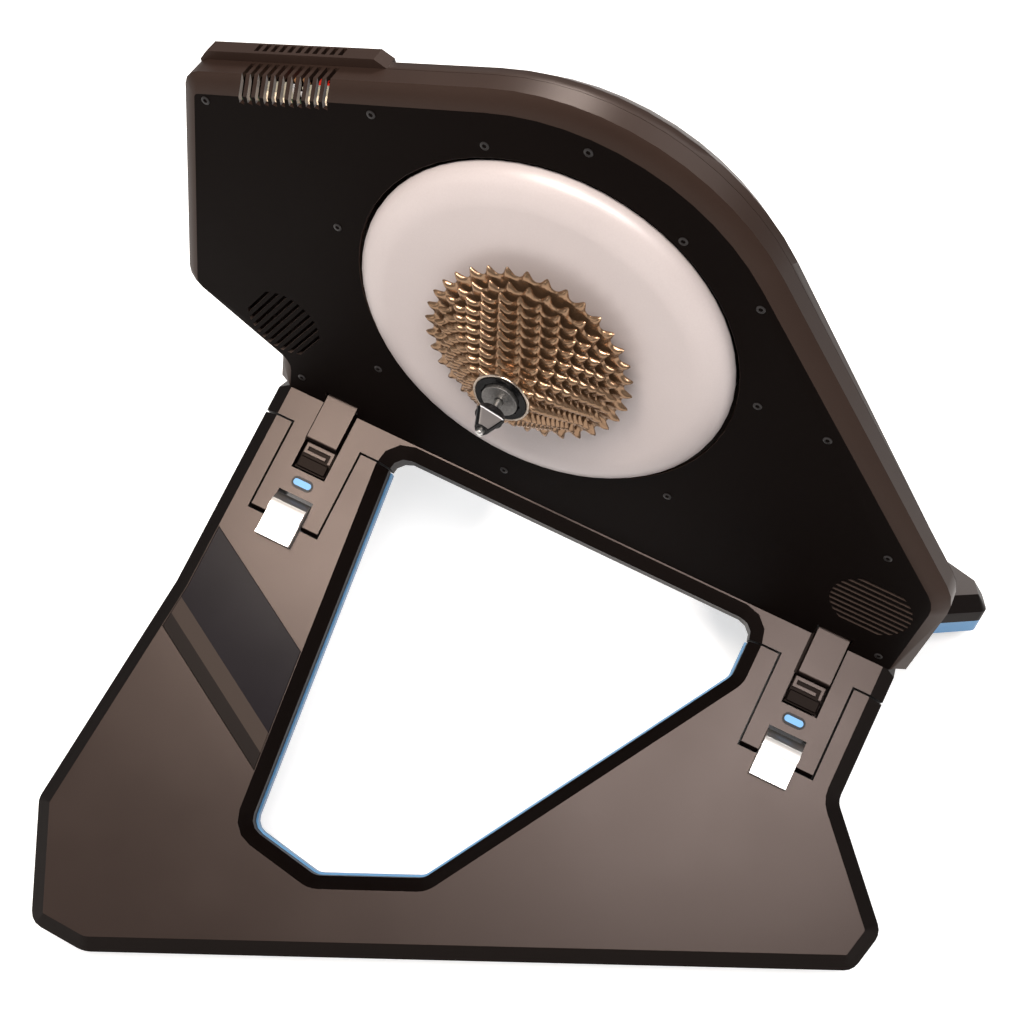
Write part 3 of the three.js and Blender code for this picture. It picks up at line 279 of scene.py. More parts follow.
# %% A grained surface
SHADER_WORDS = {
    "metallic": "Metallic",
    "specular": "Specular IOR Level",
    "tint": "Specular Tint",
    "glow": "Emission Color",
    "glow_strength": "Emission Strength",
}
PATCHES_PER_METRE = 14.0
PATCH_DETAIL = 3.0
PATCH_SHARE = 0.6
GRAIN_BUMP = 0.6


def grained(name, dark, light, grain, rough, wander=0.08, depth=0.00005, **words):
    """A surface with soft patches of colour and a fine grain."""
    material, recipe = material_recipe(name)
    spot = object_coordinates(recipe)
    patches = noise(recipe, spot, PATCHES_PER_METRE, PATCH_DETAIL)
    fine = noise(recipe, spot, 1 / grain)
    mottle = patches * PATCH_SHARE + fine * (1 - PATCH_SHARE)
    sockets = {
        "Base Color": blend_colours(recipe, mottle, dark, light),
        "Roughness": (patches - 0.5) * (wander * 2) + rough,
        "Normal": bump(recipe, fine, GRAIN_BUMP, depth),
    }
    sockets.update({SHADER_WORDS[word]: value for word, value in words.items()})
    finish_material(recipe, sockets)
    return material


print("fixed sockets", list(SHADER_WORDS.values()))

# %% [markdown]
# The housing is black glass-filled plastic with a fine etched grain. It shines little, so it looks
# nearly black in front, and only its bevels pick up the light. The satin of the bevels and the top is
# a lit copy of that plastic, with a painted lighter base colour, while the flat sides keep the
# near-black.
# The walls of its vent slots and the upper faces of its grille ribs get paler painted highlights, and
# its rear edge a darker brown. The weak shine has a warm tint.

# %% Housing plastic
WARM_TINT = (1, 0.8, 0.7, 1)

shell_plastic = grained(
    "shell_plastic", (0.0018, 0.0011, 0.0010), (0.0036, 0.0024, 0.0021), 0.0007, 0.5,
    specular=0.03, tint=WARM_TINT,
)
shell_lit_satin = grained(
    "shell_lit_satin", (0.018, 0.0105, 0.0080), (0.030, 0.0180, 0.0140), 0.0006, 0.38,
    specular=0.15, tint=WARM_TINT,
)
shell_brown = grained(
    "shell_brown", (0.012, 0.0065, 0.0045), (0.022, 0.012, 0.0085), 0.0006, 0.6,
    specular=0.03, tint=WARM_TINT,
)
slot_highlight = grained("slot_highlight", (0.20, 0.19, 0.19), (0.28, 0.265, 0.265), 0.0006, 0.3)
rib_highlight = grained("rib_highlight", (0.045, 0.032, 0.026), (0.07, 0.05, 0.042), 0.0006, 0.35)
print("housing", shell_plastic.name, shell_lit_satin.name, shell_brown.name)

# %% [markdown]
# The wings are cast and painted in a satin warm grey with metal in it. Their rims, which fall away
# from the top face, look black, so they get a darker paint that shines less: partly a black finish and
# partly painted shade.

# %% Wing paint
PAINT_TINT = (1, 0.84, 0.78, 1)

wing_paint = grained(
    "wing_paint", (0.017, 0.0105, 0.0085), (0.026, 0.0170, 0.0140), 0.0005, 0.32, 0.05,
    specular=0.34, tint=PAINT_TINT,
)
rim_paint_and_shade = grained(
    "rim_paint_and_shade", (0.0022, 0.0013, 0.0011), (0.005, 0.0032, 0.0028), 0.0006, 0.4,
    specular=0.06, tint=WARM_TINT,
)
print("paints", wing_paint.name, rim_paint_and_shade.name)

# %% [markdown]
# The disc is the outside of the heavy rotor: cast aluminium with a pale satin powder coat. The
# cassette is nickel-plated steel, which looks warm because it mirrors warm light. Here the plating
# itself is warm, with a very weak glow for the light that many teeth throw at each other. The
# knuckles are plain polished steel.

# %% Metals of the disc, the cassette and the hinges
disc_coat = grained(
    "disc_coat", (0.46, 0.41, 0.405), (0.57, 0.52, 0.515), 0.0011, 0.40, 0.05,
    metallic=0.12, specular=0.3,
)
sprocket_plate = grained(
    "sprocket_plate", (0.17, 0.102, 0.058), (0.34, 0.22, 0.14), 0.0016, 0.25, 0.05, 0.00003,
    metallic=0.9, glow=(0.36, 0.20, 0.10, 1), glow_strength=0.04,
)
knuckle_steel = grained(
    "knuckle_steel", (0.92, 0.90, 0.88), (0.98, 0.97, 0.96), 0.0009, 0.4, 0.05, 0.00001,
    metallic=1.0,
)
dark_steel = grained(
    "dark_steel", (0.16, 0.15, 0.145), (0.26, 0.25, 0.24), 0.0008, 0.34, 0.06,
    metallic=1.0,
)
print("metals", disc_coat.name, sprocket_plate.name, knuckle_steel.name, dark_steel.name)

# %% [markdown]
# Round the axle sit small metal parts: a black anodised lockring and nut with a flat that was
# milled bare, the bright rod of the quick release, the pitted end of the axle and a bright ring.
# The coils, cans and magnets inside the housing are metal too. The coils and cans show through the
# roof vent and get a weak painted glow in their own colours, for the little light that gets in there.

# %% Metals round the axle and inside
black_anodised = grained(
    "black_anodised", (0.006, 0.006, 0.0065), (0.012, 0.012, 0.013), 0.0006, 0.24, 0.05, 0.00002,
    metallic=0.6,
)
bright_thread = grained(
    "bright_thread", (0.55, 0.54, 0.52), (0.7, 0.69, 0.67), 0.0005, 0.3, 0.06,
    metallic=1.0,
)
worn_steel = grained(
    "worn_steel", (0.004, 0.004, 0.004), (0.34, 0.33, 0.32), 0.0016, 0.45, 0.08, 0.0009,
    metallic=0.9,
)
ring_steel = grained(
    "ring_steel", (0.40, 0.33, 0.27), (0.66, 0.58, 0.5), 0.0008, 0.26, 0.05, 0.00003,
    metallic=1.0,
)
copper_wire = grained(
    "copper_wire", (0.50, 0.22, 0.09), (0.75, 0.36, 0.16), 0.0006, 0.3, 0.05,
    glow=(0.75, 0.36, 0.16, 1), glow_strength=0.25,
)
tin_can = grained(
    "tin_can", (0.45, 0.45, 0.46), (0.7, 0.7, 0.72), 0.0008, 0.3, 0.05,
    glow=(0.6, 0.6, 0.62, 1), glow_strength=0.25,
)
nut_flat = grained(
    "nut_flat", (0.11, 0.10, 0.10), (0.17, 0.16, 0.155), 0.0005, 0.38, 0.06, 0.00003,
    metallic=0.3,
)
magnet_plate = grained(
    "magnet_plate", (0.25, 0.25, 0.27), (0.33, 0.33, 0.35), 0.0008, 0.3, 0.06,
    metallic=1.0,
)
print("metals", black_anodised.name, bright_thread.name, worn_steel.name, ring_steel.name)
print("and", copper_wire.name, tin_can.name, nut_flat.name, magnet_plate.name)

# %% [markdown]
# The plastics and the rubber follow: black screws and frames, the light blue liners and lock marks,
# and the rubber feet. A mark has a weak painted glow, for the light that blue plastic scatters inside.

# %% Plastics and rubber
screw_black = grained(
    "screw_black", (0.010, 0.009, 0.009), (0.022, 0.020, 0.020), 0.0004, 0.32, 0.05, 0.00002,
    specular=0.2,
)
mark_frame_black = grained(
    "mark_frame_black", (0.004, 0.004, 0.006), (0.008, 0.008, 0.01), 0.0004, 0.4,
    specular=0.2,
)
liner_blue = grained(
    "liner_blue", (0.05, 0.20, 0.42), (0.09, 0.30, 0.56), 0.0008, 0.38, 0.05,
)
mark_blue = grained(
    "mark_blue", (0.13, 0.34, 0.68), (0.18, 0.42, 0.78), 0.0009, 0.4, 0.05, 0.00003,
    glow=(0.25, 0.58, 1.0, 1), glow_strength=0.15, specular=0.2,
)
foot_rubber = grained(
    "foot_rubber", (0.012, 0.012, 0.012), (0.022, 0.021, 0.02), 0.001, 0.8, 0.08, 0.0001,
)
print("plastics", screw_black.name, mark_frame_black.name, liner_blue.name, mark_blue.name)

# %% [markdown]
# Through the roof vent one looks down on the electronics. Little light gets in there, so these
# plastics get a weak painted glow in their own colours, which stands in for light, and show as they
# do through real slots.

# %% Plastics behind the vent
board_green = grained("board_green", (0.01, 0.05, 0.025), (0.015, 0.07, 0.035), 0.001, 0.45)
cream_plastic = grained(
    "cream_plastic", (0.62, 0.50, 0.33), (0.78, 0.66, 0.46), 0.0012, 0.45,
    glow=(1.0, 0.78, 0.56, 1), glow_strength=0.75,
)
grey_plastic = grained(
    "grey_plastic", (0.26, 0.24, 0.19), (0.36, 0.33, 0.26), 0.0012, 0.45,
    glow=(0.5, 0.45, 0.34, 1), glow_strength=0.5,
)
red_plastic = grained(
    "red_plastic", (0.55, 0.02, 0.012), (0.7, 0.035, 0.02), 0.0012, 0.4,
    glow=(0.8, 0.03, 0.015, 1), glow_strength=0.4,
)
print("materials so far", len(bpy.data.materials))

# %% [markdown]
# ## Rounded copies
# A CAD node has sharp edges, and a sharp edge never catches a highlight. Each visible node is
# copied, its loose triangles are merged, and the flat ones between them are dissolved. Then a small
# bevel rounds the edges, and weighted normals keep the flat faces flat. The copy stands in for the
# node, and it moves with the node's body. Turned pieces round off gentler edges too.

# %% A rounded copy of a node
EDGE_TURN = 38
TURNED_EDGE_TURN = 30
FLAT_TURN = 0.4
MERGE_DISTANCE = 0.00002
BEVEL_SEGMENTS = 2


def into_mesh(piece):
    """Turns an object with modifiers into one plain mesh, at the origin."""
    evaluated = piece.evaluated_get(bpy.context.evaluated_depsgraph_get())
    mesh = bpy.data.meshes.new_from_object(evaluated)
    piece.modifiers.clear()
    piece.data = mesh
    return piece


def soften(piece, width, edge_turn=EDGE_TURN):
    """Rounds the edges that turn by more than an angle, and keeps flat faces flat."""
    piece.data.shade_smooth()
    piece.data.set_sharp_from_angle(angle=math.radians(edge_turn))
    bevel = piece.modifiers.new("bevel", "BEVEL")
    bevel.limit_method = "ANGLE"
    bevel.angle_limit = math.radians(edge_turn)
    bevel.width = width / 1000
    bevel.segments = BEVEL_SEGMENTS
    bevel.use_clamp_overlap = True
    weights = piece.modifiers.new("weights", "WEIGHTED_NORMAL")
    weights.keep_sharp = True
    bpy.context.view_layer.update()
    return into_mesh(piece)


def rounded(name, node, material, slot, width, edge_turn=EDGE_TURN):
    """A copy of a CAD node in a material, with its edges rounded to a width in millimetres."""
    mesh = nodes[node].data.copy()
    mesh.materials.clear()
    mesh.materials.append(material)
    work = bmesh.new()
    work.from_mesh(mesh)
    bmesh.ops.remove_doubles(work, verts=work.verts, dist=MERGE_DISTANCE)
    bmesh.ops.dissolve_limit(
        work, angle_limit=math.radians(FLAT_TURN), verts=work.verts, edges=work.edges
    )
    work.to_mesh(mesh)
    work.free()
    custom_normal = mesh.attributes.get("custom_normal")
    if custom_normal:
        mesh.attributes.remove(custom_normal)
    piece = bpy.data.objects.new(name, mesh)
    scene.collection.objects.link(piece)
    soften(piece, width, edge_turn)
    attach(piece, nodes[node]["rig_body"])
    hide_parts(node)
    return piece


print("edges turn by", EDGE_TURN, "degrees or more")

# %% [markdown]
# Some pieces carry two paints. A rule on a face's normal and centre, in the frame of the wing or
# the housing, says which faces get the second one. Where a colour ends across a face, the face is
# split there first.

# %% Paint by a rule
def paint_faces(piece, material, place, chooses):
    """Gives one more material to the faces that a rule chooses, and counts them."""
    piece.data.materials.append(material)
    last = len(piece.data.materials) - 1
    back = place.inverted()
    turn = back.to_3x3().normalized()
    count = 0
    for face in piece.data.polygons:
        if chooses(turn @ face.normal, back @ face.center):
            face.material_index = last
            count += 1
    return count


def cut_level(piece, place, level):
    """Splits the faces of a piece along a level of a frame, so that a colour can end there."""
    work = bmesh.new()
    work.from_mesh(piece.data)
    bmesh.ops.bisect_plane(
        work,
        geom=work.verts[:] + work.edges[:] + work.faces[:],
        plane_co=place @ Vector((0, 0, level)),
        plane_no=(place.to_3x3() @ Vector((0, 0, 1))).normalized(),
    )
    work.to_mesh(piece.data)
    work.free()


print("paint helpers ready")

# %% [markdown]
# ## Shapes from a rule
# A sprocket, a screw and whatever else repeats follows a rule, so Geometry Nodes grow it. Every
# tree has named inputs for its sizes, and its result is turned into a plain mesh at once. The trees
# work in millimetres in the housing's frame, which is simpler than metres in the model.

# %% Start and end of a shape tree
def shape_tree(name, sizes):
    """A tree with a number for each size, and its inputs by name."""
    tree = bpy.data.node_groups.new(name, "GeometryNodeTree")
    kinds = {"Geometry": "NodeSocketGeometry"}
    kinds.update({size: "NodeSocketFloat" for size in sizes})
    kinds["Material"] = "NodeSocketMaterial"
    for key, kind in kinds.items():
        tree.interface.new_socket(key, in_out="INPUT", socket_type=kind)
    tree.interface.new_socket("Geometry", in_out="OUTPUT", socket_type="NodeSocketGeometry")
    recipe = Recipe(tree)
    return recipe, {key: recipe.node("NodeGroupInput", output=key) for key in kinds}


def end_tree(recipe, shape, given):
    real = recipe.node("GeometryNodeRealizeInstances", {}, {"Geometry": shape})
    inputs = {"Geometry": real, "Material": given["Material"]}
    painted = recipe.node("GeometryNodeSetMaterial", {}, inputs)
    recipe.node("NodeGroupOutput", {}, {"Geometry": painted})


print("shape trees ready")

# %% [markdown]
# A round piece starts as a flat grid of unit size. Its columns go round the axle and its rows go
# along the piece's outline, and every point is then moved to its angle, radius and level. A list
# with one value for each row gives a radius or a level along the outline.

# %% A grid bent round the axle
def polar_grid(recipe, columns, rows):
    """A flat grid of unit size, with how far round and how far along each point is."""
    inputs = {"Size X": 1.0, "Size Y": 1.0, "Vertices X": columns + 1, "Vertices Y": rows}
    grid = recipe.node("GeometryNodeMeshGrid", {}, inputs)
    spot = recipe.node("GeometryNodeInputPosition")
    around = recipe.node("ShaderNodeSeparateXYZ", {}, {"Vector": spot}, "X") + 0.5
    along = recipe.node("ShaderNodeSeparateXYZ", {}, {"Vector": spot}, "Y") + 0.5
    return grid, around, along


def lookup(recipe, along, heights):
    """The height of each row of a grid, from a list of one value a row."""
    return recipe.node("ShaderNodeFloatCurve", {"heights": heights}, {"Value": along})


def around_axle(recipe, grid, angle, radius, level):
    place = recipe.node("ShaderNodeCombineXYZ", {}, {
        "X": radius * angle.apply("COSINE"),
        "Y": level,
        "Z": radius * angle.apply("SINE"),
    })
    return recipe.node("GeometryNodeSetPosition", {}, {"Geometry": grid, "Position": place})


print("round grids ready")

# %% [markdown]
# The finished tree hangs on a piece as a modifier for a moment. Its inputs are set by their
# identifiers, the result becomes a plain mesh, the seam of the grid is merged, and the faces are
# turned outwards.

# %% From a tree to a mesh
GRID_MERGE_DISTANCE = 0.00001
GRID_EDGE_TURN = 40


def close_up(piece):
    """Merges doubles, turns the faces outwards and keeps the sharp edges sharp."""
    work = bmesh.new()
    work.from_mesh(piece.data)
    bmesh.ops.remove_doubles(work, verts=work.verts, dist=GRID_MERGE_DISTANCE)
    bmesh.ops.recalc_face_normals(work, faces=work.faces)
    work.to_mesh(piece.data)
    work.free()
    piece.data.shade_smooth()
    piece.data.set_sharp_from_angle(angle=math.radians(GRID_EDGE_TURN))


def from_tree(name, recipe, values, place, body, points=()):
    """A plain mesh grown by a tree on some points, in the frame of a place, riding on a body."""
    mesh = bpy.data.meshes.new(name)
    mesh.from_pydata(list(points), [], [])
    piece = bpy.data.objects.new(name, mesh)
    scene.collection.objects.link(piece)
    modifier = piece.modifiers.new("shape", "NODES")
    modifier.node_group = recipe.tree
    for item in recipe.tree.interface.items_tree:
        if item.in_out == "INPUT" and item.name in values:
            modifier[item.identifier] = values[item.name]
    bpy.context.view_layer.update()
    into_mesh(piece)
    piece.data.transform(place)
    close_up(piece)
    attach(piece, body)
    return piece


print("shape helpers ready")

# %% [markdown]
# ## Wings and hinges
# The wings and skirts get both paints: satin grey where a face looks the way of the top face, and
# near-black on the rims, which is partly painted shade. Below the cover, the wall at the front end has
# the liner's blue. The rules are on each face's normal and centre, in the wing's own frame.

# %% Wings and skirts
COVER_TOP = -18
TOP_FACING = 0.86
FRONT_FACING = 0.55
FRONT_WALL_START = 300


def on_top(normal, centre):
    return normal.z > TOP_FACING


def on_front_wall(normal, centre):
    return centre.z < COVER_TOP and normal.x > FRONT_FACING and centre.x > FRONT_WALL_START


def paint_casting(side, part, node):
    piece = rounded(f"{side}_{part}_casting", node, rim_paint_and_shade, "paint", 0.7)
    cut_level(piece, plates[side], COVER_TOP)
    painted = paint_faces(piece, wing_paint, plates[side], on_top)
    paint_faces(piece, liner_blue, plates[side], on_front_wall)
    print(piece.name, len(piece.data.polygons), "faces,", painted, "on top")


# %% [markdown]
# At each hinge sit a bright steel knuckle, its pin, a blue lock mark and the release lever, and a
# rubber foot stands under the wing's corner at that end. A lever is black with a painted top; its
# black is the rims' dark paint, partly painted shade.

# %% Pieces at the hinges
ENDS = ("rear", "front")
LEVER_TOP_FACING = 0.9
LEVER_TOP_LEVEL = 3


def on_lever_top(normal, centre):
    return normal.z > LEVER_TOP_FACING and centre.z > LEVER_TOP_LEVEL


for side in SIDES:
    paint_casting(side, "wing", f"{side}_wing_frame")
    paint_casting(side, "skirt", f"{side}_skirt")
    rounded(f"{side}_opening_liner", f"{side}_wing_liner", liner_blue, "liner", 0.5)
    for end in ENDS:
        at_end = f"{side}_{end}"
        rounded(f"{at_end}_steel_knuckle", f"{at_end}_knuckle", knuckle_steel, "steel", 0.8)
        rounded(f"{at_end}_foot_pad", f"{side}_wing_{end}_foot", foot_rubber, "rubber", 1.0)
        rounded(f"{at_end}_mark_window", f"{at_end}_lock_mark", mark_blue, "mark", 0.4)
        rounded(f"{at_end}_pin_steel", f"{at_end}_hinge_pin", dark_steel, "dark_steel", 0.3)
        lever = rounded(f"{at_end}_latch_lever", f"{at_end}_release_lever", rim_paint_and_shade, "shell", 0.5)
        paint_faces(lever, wing_paint, plates[side], on_lever_top)
print("hinges", len(SIDES) * len(ENDS))

# %% [markdown]
# ## Panels
# The polished panel on each rear arm is dark, with a lighter stripe across it near its lower edge.
# The stripe is painted by place: a dot product turns Object coordinates into the distance from the
# panel's slanted top edge, in millimetres down the arm, and two thresholds on it choose the colour.

# %% A polished panel
PANEL_ANGLE = math.radians(29.7)
PANEL_EDGE_ALONG = -184
PANEL_EDGE_DOWN = 15
STRIPE_START = 50
STRIPE_END = 62
PANEL_GRAINS_PER_METRE = 900.0
PANEL_CLOUDS_PER_METRE = 22.0
PANEL_DARK = (0.009, 0.0075, 0.0095)
PANEL_LIGHT = (0.016, 0.0135, 0.0165)
STRIPE_COLOUR = (0.05, 0.037, 0.031)
LOWER_COLOUR = (0.014, 0.0105, 0.0095)
PANEL_ROUGHNESS = 0.2
PANEL_BUMP = 0.3
PANEL_GRAIN_DEPTH = 0.00001
PANEL_SPECULAR = 0.05


def panel_material(side):
    material, recipe = material_recipe(f"panel_gloss_{side}")
    spot = object_coordinates(recipe)
    slope = -SIDES[side]
    down = Vector((-math.sin(PANEL_ANGLE), slope * math.cos(PANEL_ANGLE), 0))
    down = (plates[side].to_3x3() @ down).normalized()
    edge = plates[side] @ Vector((PANEL_EDGE_ALONG, slope * PANEL_EDGE_DOWN, 0))
    reach = recipe.node(
        "ShaderNodeVectorMath", {"operation": "DOT_PRODUCT"}, {0: spot, 1: down}, "Value"
    )
    out = (reach - edge.dot(down)) * 1000
    light = (out > STRIPE_START) * (out < STRIPE_END)
    dark = out > STRIPE_END
    fine = noise(recipe, spot, PANEL_GRAINS_PER_METRE)
    cloud = noise(recipe, spot, PANEL_CLOUDS_PER_METRE, PATCH_DETAIL)
    plain = blend_colours(recipe, cloud, PANEL_DARK, PANEL_LIGHT)
    striped = blend_colours(recipe, light, plain, STRIPE_COLOUR)
    finish_material(recipe, {
        "Base Color": blend_colours(recipe, dark, striped, LOWER_COLOUR),
        "Roughness": PANEL_ROUGHNESS + light * 0.15 + dark * 0.1 + fine * 0.05,
        "Normal": bump(recipe, fine, PANEL_BUMP, PANEL_GRAIN_DEPTH),
        "Specular IOR Level": PANEL_SPECULAR,
    })
    return material


for side in SIDES:
    panel = rounded(f"{side}_arm_panel", f"{side}_wing_panel", panel_material(side), "panel", 0.3)
    print(panel.name, len(panel.data.polygons), "faces")

# %% [markdown]
# ## Housing
# The two shells meet on a parting line that runs round the edge. Rounded copies show it as a fine
# dark line between two small radii. The shells are the satin, a lit copy with a painted lighter base,
# and the rules below choose the faces in another tone: the rear edge in darker brown, the flat sides
# in the plain near-black, and painted highlights on the walls of the roof vent's slots that look
# forwards and on the ribs of the two grilles. A slot's wall gets its painted highlight only down to
# the depth where the bevel along the edge ends, so the shell is split there first.

# %% Housing shells
BEVEL_DEPTH = 6
FAR_SIDE_START = 44
VENT_REAR = -225
VENT_FRONT = -155
VENT_FLOOR = 70
GRILLES = ((266, -116), (-182, -107))
GRILLE_RADIUS = 30
REAR_FACING = 0.7
SIDE_FACING = 0.93
WALL_FACING = 0.8
RIB_FACING = 0.4


def at_rear(normal, centre):
    return normal.x < -REAR_FACING


def on_flat_side(normal, centre):
    return abs(normal.y) > SIDE_FACING and (centre.y < 0 or centre.y > FAR_SIDE_START)


def on_slot_wall(normal, centre):
    in_vent = VENT_REAR < centre.x < VENT_FRONT and centre.z > VENT_FLOOR
    return normal.x > WALL_FACING and in_vent and centre.y < BEVEL_DEPTH


def on_rib(normal, centre):
    in_grille = any(math.hypot(centre.x - x, centre.z - z) < GRILLE_RADIUS for x, z in GRILLES)
    return normal.z > RIB_FACING and centre.y < BEVEL_DEPTH and in_grille


tones_and_highlights = {at_rear: shell_brown, on_flat_side: shell_plastic, on_slot_wall: slot_highlight, on_rib: rib_highlight}
across = housing @ Matrix.Rotation(-math.pi / 2, 4, "X")
for name, node in (("drive_side_housing", "drive_side_shell"), ("far_side_housing", "far_side_shell")):
    piece = rounded(name, node, shell_lit_satin, "shell", 0.6)
    cut_level(piece, across, BEVEL_DEPTH)
    for rule, coat in tones_and_highlights.items():
        print(name, coat.name, paint_faces(piece, coat, housing, rule), "faces")

# %% [markdown]
# ## Rotor, axle and quick release
# The pieces on the axle are turned, so their faces meet at gentle angles, and a smaller turn counts
# as an edge there. The quick release is forged and milled, and keeps the usual limit.

# %% Pieces on the axle
TURNED_PIECES = (
    ("silver_disc", "rotor_cover", disc_coat, "rotor", 0.5),
    ("rotor_steel_drum", "rotor_drum", dark_steel, "dark_steel", 0.4),
    ("axle_shaft", "axle", dark_steel, "dark_steel", 0.4),
    ("axle_end_cap", "drive_end_cap", worn_steel, "dark_steel", 0.4),
    ("freehub_barrel", "freehub_body", dark_steel, "dark_steel", 0.3),
    ("lockring_black", "cassette_lockring", black_anodised, "black_metal", 0.3),
)
MILLED_PIECES = (
    ("skewer_steel", "skewer_rod", bright_thread, "steel", 0.3),
    ("skewer_end_nut", "skewer_nut", black_anodised, "black_metal", 0.5),
    ("skewer_cam_block", "skewer_cam", black_anodised, "black_metal", 0.4),
    ("clamp_lever", "quick_release_lever", black_anodised, "black_metal", 0.8),
    ("inlet_socket", "power_inlet", black_anodised, "black_metal", 0.4),
)

for row in TURNED_PIECES:
    rounded(*row, TURNED_EDGE_TURN)
for row in MILLED_PIECES:
    rounded(*row)
rounded(
    "spacer_sleeves", "cassette_spacer_sleeve", sprocket_plate, "cassette", 0.1, TURNED_EDGE_TURN
)
print("pieces on the axle", len(TURNED_PIECES) + len(MILLED_PIECES) + 1)

# %% [markdown]
# The nut's top was milled flat, which left a dull field. Along its edge on the axle's side runs a thin
# bright line, a painted highlight: an inset splits the flat into a field and a border, and the part of
# the border that lies on that side gets the glowing metal of the cans.

# %% Flat of the nut
NUT_OUTER_END = -92.4
NUT_INNER_END = -82.6
NUT_TOP_FACING = 0.75
NUT_BORDER = 0.8


def inset_flat(piece, inner, edge):
    """Paints the middle of the nut's flat top, and a painted highlight on its border towards the axle.
    """
    piece.data.materials.append(inner)
    piece.data.materials.append(edge)
    last = len(piece.data.materials) - 1
    back = housing.inverted()
    turn = back.to_3x3().normalized()

    def level(face):
        return (back @ face.calc_center_median()).y

    work = bmesh.new()
    work.from_mesh(piece.data)
    flats = [
        face for face in work.faces
        if (turn @ face.normal).z > NUT_TOP_FACING and NUT_OUTER_END < level(face) < NUT_INNER_END
    ]
    before = set(work.faces)
    bmesh.ops.inset_region(work, faces=flats, thickness=NUT_BORDER / 1000, use_even_offset=True)
    for face in flats:
        face.material_index = last - 1
    border = [face for face in work.faces if face not in before]
    for face in border:
        if level(face) > NUT_INNER_END - NUT_BORDER:
            face.material_index = last
    work.to_mesh(piece.data)
    work.free()
    return len(flats), len(border)


print("nut faces", inset_flat(bpy.data.objects["skewer_end_nut"], nut_flat, tin_can))

# %% [markdown]
# ## Cassette
# Eleven sprockets carry the chain. Between two teeth lies the round seat of a chain roller, and the
# teeth are pointed and swollen in the middle, so that light runs over them like over pearls. A grid
# is bent round the axle: its columns go round and follow the outline of the teeth, its rows go from
# the bore over the front face and the edge to the back. The swelling fades out between the teeth.

# %% Sprocket tree
HALF_CHAIN_PITCH = 6.35
ROLLER_SEAT = 3.95
SEAT_REACH = 3.6
SEAT_EDGE = 1.65
FLANK_GRADE = 1.75
TOOTH_TIP = 2.25
TOOTH_COLUMNS = 14
TO_ROOT = (0, 0.8, 1, 1, 1, 1, 1, 1, 1, 0, 0)
TO_EDGE = (0, 0, 0, 0.3, 0.55, 0.78, 0.93, 1, 1, 0, 0)
THICKNESS = (0, 0, 0, 0, 0.04, 0.14, 0.24, 0.32, 0.72, 1, 0)
SWELLING = (0, 0, 0.25, 0.85, 1, 0.75, 0.3, 0, 0, 0, 0)

sprocket_sizes = ("Teeth", "Pitch Radius", "Bore", "Root", "Level", "Phase", "Half Thickness", "Dome")
recipe, given = shape_tree("sprocket", sprocket_sizes)
grid, around, along = polar_grid(recipe, given["Teeth"] * TOOTH_COLUMNS, len(TO_ROOT))
to_middle = ((around * given["Teeth"]).apply("FRACT") - 0.5).apply("ABSOLUTE") * 2
from_seat = (1 - to_middle) * HALF_CHAIN_PITCH
seat_depth = (ROLLER_SEAT ** 2 - from_seat * from_seat).apply("MAXIMUM", 0.0).apply("SQRT")
flank = (from_seat - SEAT_REACH) * FLANK_GRADE - SEAT_EDGE
in_seat = from_seat < SEAT_REACH
rise = (0 - seat_depth) * in_seat + flank * (1 - in_seat)
edge = given["Pitch Radius"] + rise.apply("MINIMUM", TOOTH_TIP)
radius = given["Bore"] + (given["Root"] - given["Bore"]) * lookup(recipe, along, TO_ROOT)
radius = radius + (edge - given["Root"]) * lookup(recipe, along, TO_EDGE)
swell = ((to_middle * math.pi).apply("COSINE") * 0.5 + 0.5) * lookup(recipe, along, SWELLING)
level = given["Level"] - given["Half Thickness"]
level = level + given["Half Thickness"] * 2 * lookup(recipe, along, THICKNESS)
level = level - given["Dome"] * swell
angle = around * (2 * math.pi) + given["Phase"]
end_tree(recipe, around_axle(recipe, grid, angle, radius, level), given)
sprocket_recipe = recipe
print("sprocket tree", len(recipe.tree.nodes), "nodes")

# %% [markdown]
# A sprocket's pitch radius follows from its number of teeth and the chain's pitch alone. The bore
# clears the sleeve that it sits on, and below the teeth stays a ring of plate. The smallest
# sprocket sits where the sleeve ends, so its bore is as wide as the sleeve's own.

# %% Sprockets
SPROCKET_TEETH = (34, 30, 27, 25, 23, 21, 19, 17, 15, 13, 11)
SPROCKET_SPACING = 3.74
FIRST_SPROCKET = -25.4
HALF_THICKNESS = 0.9
TOOTH_DOME = 1.8
TOOTH_ROOT = 7.4
TOOTH_PHASE = math.radians(-58.7)
SLEEVE_BORE = 17.4
SLEEVE_RADIUS = 18.7
SLEEVE_GAP = 0.3
LEAST_RING = 0.6

for i, teeth in enumerate(SPROCKET_TEETH):
    pitch_radius = HALF_CHAIN_PITCH / math.sin(math.pi / teeth)
    bore = (SLEEVE_BORE if i == len(SPROCKET_TEETH) - 1 else SLEEVE_RADIUS) + SLEEVE_GAP
    piece = from_tree(f"teeth_{teeth}", sprocket_recipe, {
        "Teeth": float(teeth),
        "Pitch Radius": pitch_radius,
        "Bore": bore,
        "Root": max(pitch_radius - TOOTH_ROOT, bore + LEAST_RING),
        "Level": FIRST_SPROCKET - i * SPROCKET_SPACING,
        "Phase": TOOTH_PHASE - math.pi / teeth,
        "Half Thickness": HALF_THICKNESS,
        "Dome": TOOTH_DOME,
        "Material": sprocket_plate,
    }, housing, nodes[f"sprocket_{teeth}"]["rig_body"])
    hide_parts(f"sprocket_{teeth}")

# %% [markdown]
# ## Screws
# The drive-side shell is held by small socket screws all round the face, and the far side too. Each
# head is a short turned shape with a six-sided socket. One tree makes the head and sets a copy on
# every point that it is given.

